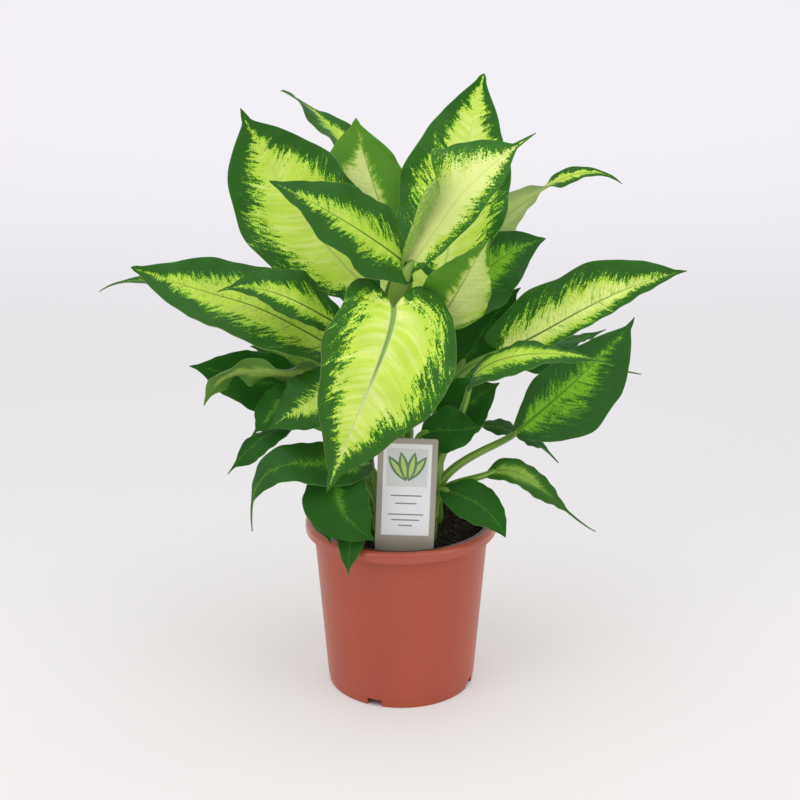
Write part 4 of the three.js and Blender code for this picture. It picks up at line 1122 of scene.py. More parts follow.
BLADES = (
    Blade(
        "leaf_01",
        ((-0.03, 0.012, 0.362), (-0.072, 0.03, 0.404), (-0.109, 0.048, 0.454), (-0.137, 0.055, 0.508)),
        0.104, (-0.15, -0.85, 0.5), "bright", Variegation(0.7, 0.74, 0, 0.5, 0.92, 0.25), widest=0.44,
        swell=0.8, full=2.5, fold=6, curl=4,
    ),
    Blade(
        "leaf_02",
        ((0.0052, -0.01, 0.3844), (-0.0172, -0.034, 0.409),
         (-0.0588, -0.052, 0.44), (-0.1048, -0.055, 0.4649)),
        0.074, (-0.1, -0.8, 0.6), "feather", Variegation(0.38, 0.4, 0.04, 0.45, 0.95, 0.2), widest=0.364,
        shoulder=0.08, drip=0.059, skew=0.061, fold=6, curl=11.42, roll=15.531, wave=0.003, waves=3.2,
    ),
    Blade(
        "leaf_03",
        ((-0.0035, 0.048, 0.3815), (-0.0248, 0.09, 0.4423),
         (-0.0732, 0.122, 0.4916), (-0.1081, 0.13, 0.514)),
        0.056, (-0.1, -0.6, 0.8), "feather", Variegation(0.72, 0.6, 0.04, 0.5, 0.92, 0.3), widest=0.36,
        full=2.39, drip=0.02, lobe=0, skew=-0.26, fold=14, roll=19, roll_tip=50, wave=0.005, waves=2.2,
    ),
    Blade(
        "leaf_04",
        ((0.001, 0.03, 0.38), (-0.015, 0.05, 0.417), (-0.031, 0.066, 0.462), (-0.039, 0.075, 0.497)),
        0.084, (0.1, -0.8, 0.5), "young", Variegation(0.6, 0.15, 0.1, 0.6, 0.85, 0.9), widest=0.5, full=2,
        drip=0.06, skew=-0.28,
    ),
    Blade(
        "leaf_05",
        ((0.035, 0.005, 0.377), (0.047, 0.04, 0.421), (0.058, 0.06, 0.478), (0.071, 0.065, 0.536)),
        0.1, (0, -0.9, 0.35), "sunlit", Variegation(0.6, 0.7, 0, 0.55, 1.14, 0.5), widest=0.38, full=1.9,
        drip=0.03, skew=-0.06, fold=18, roll=-12, wave=0.004,
    ),
    Blade(
        "leaf_06",
        ((0.0081, -0.024, 0.3904), (0.0318, -0.026, 0.4252),
         (0.0576, -0.024, 0.457), (0.1101, -0.006, 0.4957)),
        0.068, (0, -0.9, 0.35), "creamy", Variegation(0.7, 0.74, 0, 0.5, 0.97, 0.7), widest=0.46,
        shoulder=0.13, swell=0.7, full=2.1, drip=0.24, skew=-0.34, fold=6, curl=20, roll=-14,
        sheath=0.004, flap=Flap(165, 0.58, 0.2, 0.5),
    ),
    Blade(
        "leaf_07",
        ((0.0728, 0.06, 0.3926), (0.1064, 0.072, 0.4231), (0.1527, 0.084, 0.4458), (0.1963, 0.09, 0.4367)),
        0.041, (-0.2, 0.9, 0.2), "thin", Variegation(0.5, 0.5, 0.1, 0.6, 0.95, 0.3),
        face_tip=(0.1, -0.9, 0.6), widest=0.22, full=1.3,
    ),
    Blade(
        "leaf_08",
        ((0.037, 0.018, 0.329), (0.064, 0.034, 0.362), (0.094, 0.044, 0.384), (0.126, 0.05, 0.396)),
        0.064, (0.1, -0.8, 0.5), "dusky", Variegation(0.44, 0.44, 0.03, 0.5, 0.92, 0.15), widest=0.45,
        drip=0.05,
    ),
    Blade(
        "leaf_09",
        ((0.0308, -0.022, 0.3437), (0.0446, -0.031, 0.3649),
         (0.0561, -0.043, 0.3898), (0.0713, -0.053, 0.4177)),
        0.058, (0.15, -0.9, 0.3), "young", Variegation(0.2, 0.95, 0, 0.7, 1.05, 0.6), widest=0.34,
        shoulder=0.2, full=1.5, drip=0.06, skew=-0.02, fold=16, curl=20,
    ),
    Blade(
        "leaf_10",
        ((0.0859, 0.014, 0.3035), (0.1284, 0.012, 0.3256), (0.1793, 0.008, 0.3551), (0.2414, 0, 0.3788)),
        0.058, (-0.2, -0.55, 0.8), "streaked", Variegation(0.56, 0.7, 0.02, 0.5, 0.95, 0.6), widest=0.3,
        shoulder=0.4, full=2.8, drip=0.06, skew=-0.26, fold=22, curl=4, roll=14,
    ),
    Blade(
        "leaf_11",
        ((0.057, -0.034, 0.285), (0.077, -0.046, 0.312), (0.122, -0.054, 0.322), (0.175, -0.056, 0.312)),
        0.052, (-0.3, -0.2, 0.95), "feather", Variegation(0.5, 0.5, 0.1, 0.5, 0.95, 0.25),
        face_tip=(0, -0.25, 1), widest=0.3, shoulder=0.05, full=1.5, drip=0.15, lobe=0, skew=0.1, fold=5,
    ),
    Blade(
        "leaf_12",
        ((0.0976, -0.022, 0.2411), (0.1201, -0.022, 0.2619), (0.1648, -0.012, 0.3012), (0.199, 0, 0.3386)),
        0.067, (0.2, -0.85, 0.45), "dusky", Variegation(0.32, 0.36, 0.03, 0.35, 0.82, 0.05), widest=0.37,
        swell=1, full=2.2, lobe=0, skew=0.24, fold=12, roll=-4,
    ),
    Blade(
        "leaf_13",
        ((0.089, 0.06, 0.29), (0.126, 0.075, 0.292), (0.16, 0.09, 0.293), (0.189, 0.1, 0.3)),
        0.05, (0, 0, 1), "plain", PLAIN,
    ),
    Blade(
        "leaf_14",
        ((0.072, 0.03, 0.275), (0.115, 0.045, 0.283), (0.17, 0.055, 0.278), (0.217, 0.06, 0.269)),
        0.036, (0, -0.1, 1), "plain", PLAIN,
    ),
    Blade(
        "leaf_15",
        ((0.066, 0.012, 0.237), (0.091, 0.01, 0.235), (0.116, 0.008, 0.224), (0.139, 0.005, 0.204)),
        0.038, (0.1, 0, 1), "plain", PLAIN,
    ),
    Blade(
        "leaf_16",
        ((0.038, -0.01, 0.245), (0.051, -0.014, 0.26), (0.067, -0.016, 0.273), (0.084, -0.016, 0.285)),
        0.052, (0, -0.7, 0.7), "plain", PLAIN,
    ),
    Blade(
        "leaf_17",
        ((0.02, -0.036, 0.247), (0.037, -0.042, 0.251), (0.053, -0.046, 0.253), (0.068, -0.048, 0.257)),
        0.042, (0, -0.75, 0.6), "plain", PLAIN,
    ),
    Blade(
        "leaf_18",
        ((0.038, -0.045, 0.198), (0.055, -0.055, 0.195), (0.073, -0.062, 0.185), (0.088, -0.07, 0.165)),
        0.038, (0.1, -0.7, 0.7), "plain", PLAIN, drip=0.03, wave=0.001,
    ),
    Blade(
        "leaf_19",
        ((0.078, -0.04, 0.212), (0.106, -0.045, 0.21), (0.135, -0.05, 0.187), (0.166, -0.055, 0.164)),
        0.036, (0.2, -0.3, 0.9), "olive", Variegation(0.5, 0.6, 0.02, 0.2, 0.5, 0.2), widest=0.24,
        drip=0.35, wave=0.001,
    ),
    Blade(
        "leaf_20",
        ((-0.0064, -0.06, 0.3619), (-0.0132, -0.088, 0.3369),
         (-0.0333, -0.106, 0.2898), (-0.0607, -0.102, 0.2186)),
        0.1103, (-0.05, -0.85, 0.5), "lime", Variegation(0.74, 0.72, 0, 0.42, 0.92, 0.3), widest=0.338,
        shoulder=0.4, swell=0.4, full=1.3, drip=0.121, lobe=0.18, skew=-0.11, fold=6, curl=8, roll=-20.99,
        arrive=(-0.05, -0.5, 0.85),
    ),
    Blade(
        "leaf_21",
        ((-0.0492, -0.02, 0.3119), (-0.1133, -0.026, 0.3504),
         (-0.1522, -0.018, 0.3617), (-0.2263, -0.01, 0.3845)),
        0.084, (0.15, -0.65, 0.75), "streaked", Variegation(0.55, 0.55, 0.02, 0.5, 0.96, 0.15),
        widest=0.268, shoulder=0.104, full=2.4, drip=0.03, skew=-0.015, fold=12, curl=4, roll=20.882,
        roll_tip=-14.769,
    ),
    Blade(
        "leaf_22",
        ((-0.064, 0.06, 0.311), (-0.127, 0.07, 0.331), (-0.206, 0.065, 0.353), (-0.268, 0.06, 0.346)),
        0.056, (0, -0.2, 1), "feather", Variegation(0.4, 0.4, 0.05, 0.4, 0.85, 0.1), drip=0.15,
    ),
    Blade(
        "leaf_23",
        ((-0.049, -0.038, 0.34), (-0.079, -0.052, 0.362), (-0.113, -0.057, 0.377), (-0.149, -0.057, 0.375)),
        0.05, (0.1, -0.6, 0.8), "feather", Variegation(0.5, 0.42, 0.05, 0.45, 0.9, 0.3), drip=0.15,
        skew=0.25,
    ),
    Blade(
        "leaf_24",
        ((-0.079, 0, 0.275), (-0.113, -0.005, 0.281), (-0.147, -0.01, 0.291), (-0.181, -0.01, 0.298)),
        0.056, (0, -0.75, 0.65), "plain", PLAIN, drip=0.08,
    ),
    Blade(
        "leaf_25",
        ((-0.067, 0.02, 0.285), (-0.089, 0.032, 0.291), (-0.112, 0.04, 0.296), (-0.134, 0.044, 0.3)),
        0.046, (0, -0.6, 0.8), "olive", Variegation(0.4, 0.4, 0, 0.3, 0.8, 0.1),
    ),
    Blade(
        "leaf_26",
        ((-0.068, -0.012, 0.299), (-0.102, -0.034, 0.298),
         (-0.136, -0.046, 0.303), (-0.165, -0.048, 0.275)),
        0.052, (0.1, 0.6, 0.8), "backturned", Variegation(0.5, 0.5, 0, 0.5, 0.9, 0.2), wave=0.005,
        waves=3,
    ),
    Blade(
        "leaf_27",
        ((-0.085, -0.038, 0.282), (-0.098, -0.046, 0.277), (-0.111, -0.05, 0.266), (-0.126, -0.05, 0.248)),
        0.034, (0.2, -0.7, 0.7), "plain", Variegation(0.25, 0.25, 0, 0.3, 0.8, 0.1), drip=0.2,
    ),
    Blade(
        "leaf_28",
        ((-0.046, -0.054, 0.303), (-0.067, -0.064, 0.29), (-0.088, -0.07, 0.277), (-0.11, -0.07, 0.261)),
        0.054, (-0.1, -0.7, 0.7), "bright", Variegation(0.6, 0.2, 0, 0.35, 0.75, 0.3),
    ),
    Blade(
        "leaf_29",
        ((-0.0711, -0.022, 0.2471), (-0.1035, -0.035, 0.25),
         (-0.1283, -0.04, 0.2347), (-0.1481, -0.04, 0.2106)),
        0.03, (0, -0.1, 1), "plain", PLAIN, widest=0.62, full=1.3, drip=0.22, skew=-0.35, roll=36,
        roll_tip=-50,
    ),
    Blade(
        "leaf_30",
        ((-0.032, -0.056, 0.225), (-0.066, -0.08, 0.235), (-0.107, -0.09, 0.232), (-0.124, -0.085, 0.177)),
        0.046, (0, -0.5, 0.85), "dusky", Variegation(0.3, 0.12, 0, 0.1, 0.42, 0.05),
        face_tip=(-0.8, -0.5, 0.3), widest=0.3, drip=0.25,
    ),
    Blade(
        "leaf_31",
        ((-0.055, -0.058, 0.224), (-0.055, -0.084, 0.212),
         (-0.046, -0.09, 0.193), (-0.022, -0.076, 0.1643)),
        0.056, (-0.1, -0.9, 0.4), "plain", Variegation(0.22, 0.1, 0.1, 0.35, 0.65, 0), widest=0.42,
        full=1.5,
    ),
    Blade(
        "leaf_32",
        ((-0.039, -0.048, 0.185), (-0.04, -0.062, 0.174), (-0.043, -0.08, 0.161), (-0.044, -0.092, 0.14)),
        0.026, (0, -0.9, 0.4), "plain", PLAIN,
    ),
    Blade(
        "leaf_33",
        ((-0.068, -0.04, 0.198), (-0.066, -0.055, 0.188), (-0.063, -0.066, 0.175), (-0.06, -0.072, 0.16)),
        0.03, (0, -0.9, 0.4), "plain", PLAIN,
    ),
    Blade(
        "leaf_34",
        ((0.054, 0.034, 0.288), (0.072, 0.044, 0.311), (0.088, 0.052, 0.333), (0.106, 0.058, 0.35)),
        0.058, (0.2, -0.8, 0.5), "plain", PLAIN,
    ),
    Blade(
        "leaf_35",
        ((0.012, 0.072, 0.318), (0.03, 0.112, 0.345), (0.048, 0.155, 0.35), (0.062, 0.2, 0.332)),
        0.084, (0.1, 0.2, 1), "bright", Variegation(0.6, 0.6, 0.02, 0.5, 0.93, 0.4),
    ),
    Blade(
        "leaf_36",
        ((-0.008, 0.074, 0.31), (-0.024, 0.112, 0.334), (-0.042, 0.156, 0.334), (-0.06, 0.2, 0.308)),
        0.08, (-0.1, 0.2, 1), "streaked", Variegation(0.6, 0.6, 0.02, 0.5, 0.93, 0.4),
    ),
    Blade(
        "leaf_37",
        ((0.004, 0.076, 0.24), (0.003, 0.112, 0.256), (0.001, 0.15, 0.25), (-0.002, 0.19, 0.222)),
        0.066, (0, 0.3, 1), "feather", NARROW,
    ),
    Blade(
        "leaf_38",
        ((-0.046, 0.044, 0.262), (-0.068, 0.082, 0.282), (-0.09, 0.124, 0.282), (-0.112, 0.166, 0.262)),
        0.066, (-0.2, 0.2, 1), "feather", NARROW,
    ),
    Blade(
        "leaf_39",
        ((0.046, 0.048, 0.25), (0.058, 0.086, 0.272), (0.066, 0.128, 0.274), (0.072, 0.168, 0.256)),
        0.06, (0.2, 0.3, 1), "plain", NARROW,
    ),
)


@dataclass(frozen=True)
class Shoot:
    """One cane and the leaves that it carries, each with the height where its stalk leaves the cane.

    radius holds the cane's radius at its foot and at its top.
    """

    number: int
    foot: Pair
    top: Point
    radius: Pair
    leaves: dict[str, float]


SHOOTS = (
    Shoot(1, (-0.002, 0.005), (-0.005, -0.002, 0.318), (0.008, 0.006), {
        "leaf_02": 0.296, "leaf_05": 0.300, "leaf_06": 0.305, "leaf_20": 0.280,
        "leaf_23": 0.262, "leaf_28": 0.240,
    }),
    Shoot(2, (-0.030, 0.016), (-0.030, 0.020, 0.285), (0.0075, 0.0055), {
        "leaf_01": 0.262, "leaf_03": 0.275, "leaf_04": 0.270, "leaf_22": 0.245,
        "leaf_25": 0.230, "leaf_38": 0.215,
    }),
    Shoot(3, (0.030, 0.016), (0.034, 0.020, 0.290), (0.0075, 0.0055), {
        "leaf_07": 0.265, "leaf_08": 0.270, "leaf_10": 0.240, "leaf_13": 0.225,
        "leaf_14": 0.215, "leaf_15": 0.190, "leaf_34": 0.235, "leaf_39": 0.200,
    }),
    Shoot(4, (-0.036, -0.016), (-0.040, -0.018, 0.232), (0.007, 0.0055), {
        "leaf_21": 0.222, "leaf_24": 0.205, "leaf_26": 0.215, "leaf_27": 0.210,
        "leaf_29": 0.190, "leaf_33": 0.172,
    }),
    Shoot(5, (0.022, -0.028), (0.028, -0.027, 0.196), (0.007, 0.0055), {
        "leaf_09": 0.190, "leaf_11": 0.186, "leaf_12": 0.176, "leaf_16": 0.184,
        "leaf_17": 0.180, "leaf_18": 0.168, "leaf_19": 0.170,
    }),
    Shoot(6, (-0.016, -0.036), (-0.020, -0.038, 0.184), (0.006, 0.005), {
        "leaf_30": 0.174, "leaf_31": 0.170, "leaf_32": 0.160,
    }),
    Shoot(7, (0.004, 0.042), (0.006, 0.050, 0.255), (0.0075, 0.0055), {
        "leaf_35": 0.240, "leaf_36": 0.232, "leaf_37": 0.195,
    }),
)


@dataclass
class StemShop:
    """Makes canes with ring scars, and stalks that sheathe the cane where they leave it."""

    foot_depth: float = 0.045
    stalk_radius: Pair = (0.0044, 0.0027)
    sheath_share: float = 0.3
    sheath_swell: float = 0.0016
    stalk_reach: float = 0.004
    stalk_rise: float = 0.45
    stalk_arrival: float = 0.35
    scar_spacing: float = 0.019
    scar_width: float = 0.06
    scar_height: float = 0.0007
    joint_swell: float = 0.0004
    skin_inset: float = 0.0003
    cane_tip: float = 0.4
    cane_tip_rows: float = 8.0
    stalk_end: float = 0.4
    stalk_end_start: float = 0.965
    step: float = 0.0022
    sides: int = 20
    tree: NodeGroup = field(init=False)
    material: bpy.types.Material = field(init=False)

    def __post_init__(self) -> None:
        """Builds the sweep tree and the finish once for all shoots."""
        self.material = StemSkin().build()
        self.tree = self._sweep_tree()

    @staticmethod
    def _sweep_tree() -> NodeGroup:
        """Builds the tree that sweeps a round section along each edge chain by its stem_radius."""
        group = NodeGroup("swept_stems", (("Sides", "NodeSocketInt"), ("Material", "NodeSocketMaterial")))
        path = group.node("GeometryNodeMeshToCurve", {}, {0: group.given("Geometry")})
        inputs = {"Resolution": group.given("Sides"), "Radius": 1.0}
        ring = group.node("GeometryNodeCurvePrimitiveCircle", {}, inputs)
        place = group.node("GeometryNodeInputPosition", {}, {})
        inputs = {"Geometry": ring.outputs[0], "Name": "stem_side", "Value": place.outputs[0]}
        section = group.node("GeometryNodeStoreNamedAttribute", {"data_type": "FLOAT_VECTOR"}, inputs)
        settings = {"data_type": "FLOAT"}
        radius = group.node("GeometryNodeInputNamedAttribute", settings, {"Name": "stem_radius"})
        inputs = {"Curve": path.outputs[0], "Radius": radius.outputs["Attribute"]}
        sized = group.node("GeometryNodeSetCurveRadius", {}, inputs)
        inputs = {"Curve": sized.outputs[0], "Profile Curve": section.outputs[0], "Fill Caps": True}
        swept = group.node("GeometryNodeCurveToMesh", {}, inputs)
        # Where the sweep has a Scale input, the radius has to go in there
        if "Scale" in swept.inputs:
            group.tree.links.new(radius.outputs["Attribute"], swept.inputs["Scale"])
        smooth = group.node("GeometryNodeSetShadeSmooth", {}, {0: swept.outputs[0]})
        group.close(smooth.outputs[0])
        return group

    def _cane(self, shoot: Shoot) -> tuple[np.ndarray, np.ndarray, np.ndarray]:
        """Lays out a cane's path, its radius and what its finish reads."""
        foot = np.array([*shoot.foot, SOIL_LEVEL - self.foot_depth])
        top = np.array(shoot.top)
        steps = round(float(np.linalg.norm(top - foot)) / (0.5 * self.step))
        share = np.linspace(0.0, 1.0, steps + 1)
        path = foot + (top - foot) * share[:, None]
        radius = shoot.radius[0] + (shoot.radius[1] - shoot.radius[0]) * share
        turn = (path[:, 2] / self.scar_spacing + 0.37 * shoot.number) % 1.0
        scar = np.exp(-(((turn - 0.5) / self.scar_width) ** 2))
        swell = self.joint_swell * np.cos(2.0 * np.pi * turn)
        end = np.sqrt(np.clip((1.0 - share) * steps / self.cane_tip_rows, self.cane_tip**2, 1.0))
        radius = (radius + scar * self.scar_height * 0.5 + swell - self.skin_inset) * end
        form = np.stack([share, np.clip(1.2 - share, 0.0, 1.0), scar], -1)
        return path, radius, form

    def _stalk(self, shoot: Shoot, blade: Blade, height: float) -> tuple[np.ndarray, np.ndarray, np.ndarray]:
        """Lays out a stalk from the cane to the base of its blade."""
        foot = np.array([*shoot.foot, SOIL_LEVEL - self.foot_depth])
        top = np.array(shoot.top)
        share = min((height - foot[2]) / (top[2] - foot[2]), 0.98)
        start = foot + (top - foot) * share
        points, tangents, _ = blade.centre_line()
        base, forward = points[0], tangents[0]
        if blade.arrive:
            forward = unit(np.array(blade.arrive))
        span = float(np.linalg.norm(base - start))
        rise = start + unit(top - foot) * self.stalk_rise * span
        arrival = base - forward * self.stalk_arrival * span
        end = base + forward * (0.0 if blade.arrive else self.stalk_reach)
        steps = max(16, round(span * 1.15 / self.step))
        t = np.linspace(0.0, 1.0, steps + 1)[:, None]
        path = cubic(t, (start, rise, arrival, end))
        t = t[:, 0]
        radius = self.stalk_radius[0] + (self.stalk_radius[1] - self.stalk_radius[0]) * t
        radius += self.sheath_swell * (1.0 - smooth_step(t, 0.0, self.sheath_share))
        radius += blade.sheath * np.sin(np.pi * t**2)
        radius *= 1.0 - (1.0 - self.stalk_end) * smooth_step(t, self.stalk_end_start, 1.0)
        pale_wings = 4.0 * np.sin(np.pi * t**2) * (blade.sheath > 0.0)
        form = np.stack([t - pale_wings, np.zeros_like(t), np.zeros_like(t)], -1)
        return path, radius, form

    def make(self, shoot: Shoot, blades: dict[str, Blade]) -> bpy.types.Object:
        """Builds one shoot from its cane and stalks.

        Args:
            shoot: The shoot to build.
            blades: All blades by name.

        Returns:
            The dressed object.
        """
        parts = [self._cane(shoot)]
        parts += [self._stalk(shoot, blades[name], height) for name, height in shoot.leaves.items()]
        points, edges, count = [], [], 0
        for path, _, _ in parts:
            chain = np.arange(count, count + len(path))
            edges += np.stack([chain[:-1], chain[1:]], -1).tolist()
            points += path.tolist()
            count += len(path)
        mesh = bpy.data.meshes.new(f"shoot_{shoot.number}_paths")
        mesh.from_pydata(points, edges, [])
        layer = mesh.attributes.new("stem_radius", "FLOAT", "POINT")
        radii = np.concatenate([radius for _, radius, _ in parts])
        layer.data.foreach_set("value", radii.astype(np.float32))
        add_vectors(mesh, "stem_form", np.concatenate([form for _, _, form in parts]))
        values = {"Sides": self.sides, "Material": self.material}
        return self.tree.bake(f"shoot_{shoot.number}_stems", mesh, values)


@dataclass
class Pot:
    """The turned nursery pot: rolled lip, tapered wall, foot step, raised floor, notches and drain holes."""

    rim_radius: float = 0.085
    height: float = 0.156
    foot_radius: float = 0.066
    wall: float = 0.002
    wall_top_radius: float = 0.0775
    lip_drop: float = 0.010
    lip_round: float = 0.0045
    mouth_round: float = 0.0016
    skirt_round: float = 0.001
    foot_height: float = 0.0075
    foot_step: float = 0.0006
    foot_ring: float = 0.0026
    floor_thickness: float = 0.002
    hub_radius: float = 0.024
    hub_draft: float = 0.0015
    notch_width: float = 0.0136
    notch_height: float = 0.0065
    notch_count: int = 4
    first_notch_angle: float = -21.0
    drain_radius: float = 0.0045
    drain_ring_radius: float = 0.048
    drain_count: int = 6
    drain_sides: int = 24
    sides: int = 192
    corner_round: float = 0.0004
    sharp_angle: float = 32.0

    def wall_radius(self, z: float) -> float:
        """Gives the outer radius of the tapered wall at a height."""
        share = z / (self.height - self.lip_drop)
        return self.foot_radius + (self.wall_top_radius - self.foot_radius) * share

    @staticmethod
    def _arc(centre: Pair, radius: float, start: float, end: float, steps: int) -> list[list[float]]:
        """Gives points on an arc between two angles in degrees."""
        turns = np.radians(np.linspace(start, end, steps + 1))
        return [[centre[0] + radius * math.cos(turn), centre[1] + radius * math.sin(turn)] for turn in turns]

    def _profile(self) -> list[list[float]]:
        """Gives the wall's section from the hub's middle round to the floor's middle."""
        lip_foot = self.height - self.lip_drop
        skirt = self.rim_radius - self.wall
        inner_top = self.wall_radius(self.height) - self.wall
        floor_top = self.notch_height + self.floor_thickness
        lip_centre = (self.rim_radius - self.lip_round, self.height - self.lip_round)
        skirt_centre = (self.rim_radius - self.skirt_round, lip_foot + self.skirt_round)
        mouth_centre = (inner_top + self.mouth_round, self.height - self.mouth_round)
        step_radius = self.wall_radius(self.foot_height)
        return [
            [0.0, 0.0],
            [self.hub_radius, 0.0],
            [self.hub_radius + self.hub_draft, self.notch_height],
            [self.foot_radius - self.foot_ring, self.notch_height],
            [self.foot_radius - self.foot_ring, 0.0],
            [self.foot_radius - self.foot_step - self.corner_round, 0.0],
            [self.foot_radius - self.foot_step, self.corner_round],
            [step_radius - self.foot_step, self.foot_height - self.foot_step],
            [step_radius, self.foot_height],
            *[[self.wall_radius(z), z] for z in np.linspace(self.foot_height, lip_foot, 16)[1:]],
            [self.wall_radius(self.height), self.height - 1.5 * self.wall],
            [skirt, self.height - 2.0 * self.wall],
            [skirt, lip_foot],
            *self._arc(skirt_centre, self.skirt_round, -90.0, 0.0, 4),
            *self._arc(lip_centre, self.lip_round, 0.0, 90.0, 10),
            *self._arc(mouth_centre, self.mouth_round, 90.0, 180.0, 5),
            [self.wall_radius(floor_top) - self.wall, floor_top],
            [self.hub_radius + self.hub_draft - self.wall, floor_top],
            [self.hub_radius - self.wall, self.floor_thickness],
            [0.0, self.floor_thickness],
        ]

    def _turned(self) -> bpy.types.Mesh:
        """Turns the section about the pot's axis."""
        profile = np.array(self._profile())
        ring = profile[1:-1]
        turns = round_turns(self.sides)
        x = ring[:, None, 0] * np.cos(turns)
        y = ring[:, None, 0] * np.sin(turns)
        z = np.repeat(ring[:, None, 1], self.sides, 1)
        points = np.stack([x, y, z], -1).reshape(-1, 3)
        points = np.concatenate([points, [[0.0, 0.0, profile[0, 1]], [0.0, 0.0, profile[-1, 1]]]])
        low, high = len(points) - 2, len(points) - 1
        column = np.arange(self.sides)
        after = (column + 1) % self.sides
        last = (len(ring) - 1) * self.sides
        faces = grid_faces(len(ring), self.sides, wrap=True).tolist()
        faces += np.stack([after, column, np.full_like(column, low)], -1).tolist()
        faces += np.stack([last + column, last + after, np.full_like(column, high)], -1).tolist()
        return new_mesh("pot_wall", points, faces)

    def _cutter(self) -> bpy.types.Object:
        """Makes the notches and drain holes as one cutting body."""
        turns = [math.radians(self.first_notch_angle + 360.0 * index / self.notch_count)
                 for index in range(self.notch_count)]
        points = np.concatenate([self._notch_points(turn) for turn in turns])
        box = np.array([[0, 3, 2, 1], [4, 5, 6, 7], [0, 1, 5, 4], [1, 2, 6, 5], [2, 3, 7, 6], [3, 0, 4, 7]])
        faces = [face for index in range(self.notch_count) for face in (box + 8 * index).tolist()]
        for turn in round_turns(self.drain_count):
            faces += self._drain_faces(len(points))
            points = np.concatenate([points, self._drain_points(turn)])
        cutter = bpy.data.objects.new("pot_cuts", new_mesh("pot_cuts", points, faces))
        bpy.context.scene.collection.objects.link(cutter)
        return cutter

    def _drain_points(self, turn: float) -> np.ndarray:
        """Gives the lower and upper rims of one drain hole's cutting rod, turned about the axis."""
        angles = round_turns(self.drain_sides)
        circle = np.stack([np.cos(angles), np.sin(angles), np.zeros(self.drain_sides)], -1)
        middle = np.array([math.cos(turn), math.sin(turn), 0.0]) * self.drain_ring_radius
        ring = circle * self.drain_radius + middle
        low = self.notch_height - self.floor_thickness
        high = self.notch_height + 2.0 * self.floor_thickness
        return np.concatenate([ring + [0.0, 0.0, low], ring + [0.0, 0.0, high]])

    def _drain_faces(self, first: int) -> list[list[int]]:
        """Numbers the faces of one cutting rod whose first point has that number."""
        lower = np.arange(first, first + self.drain_sides)
        ends = [lower[::-1].tolist(), (lower + self.drain_sides).tolist()]
        return ends + grid_faces(2, self.drain_sides, first, wrap=True).tolist()

    def _notch_points(self, turn: float) -> np.ndarray:
        """Gives the corners of one notch's cutting box, turned about the axis."""
        half, deep = self.notch_width / 2.0, 2.0 * self.wall
        corners = np.array([
            (x, y - self.foot_radius, z)
            for z in (-self.notch_height, self.notch_height)
            for x, y in ((-half, -deep), (half, -deep), (half, deep), (-half, deep))
        ])
        c, s = math.cos(turn), math.sin(turn)
        x, y, z = corners.T
        return np.stack([x * c - y * s, x * s + y * c, z], -1)

    def make(self) -> bpy.types.Object:
        """Builds, cuts and dresses the pot."""
        pot = add_object("pot_shell", self._turned(), PotPlastic().build())
        cutter = self._cutter()
        cut = pot.modifiers.new("openings", "BOOLEAN")
        cut.operation = "DIFFERENCE"
        cut.solver = "EXACT"
        cut.object = cutter
        graph = bpy.context.evaluated_depsgraph_get()
        mesh = bpy.data.meshes.new_from_object(pot.evaluated_get(graph), depsgraph=graph)
        pot.modifiers.remove(cut)
        bpy.data.objects.remove(cutter)
        pot.data = mesh
        shade_smooth(mesh)
        mesh.set_sharp_from_angle(angle=math.radians(self.sharp_angle))
        return pot


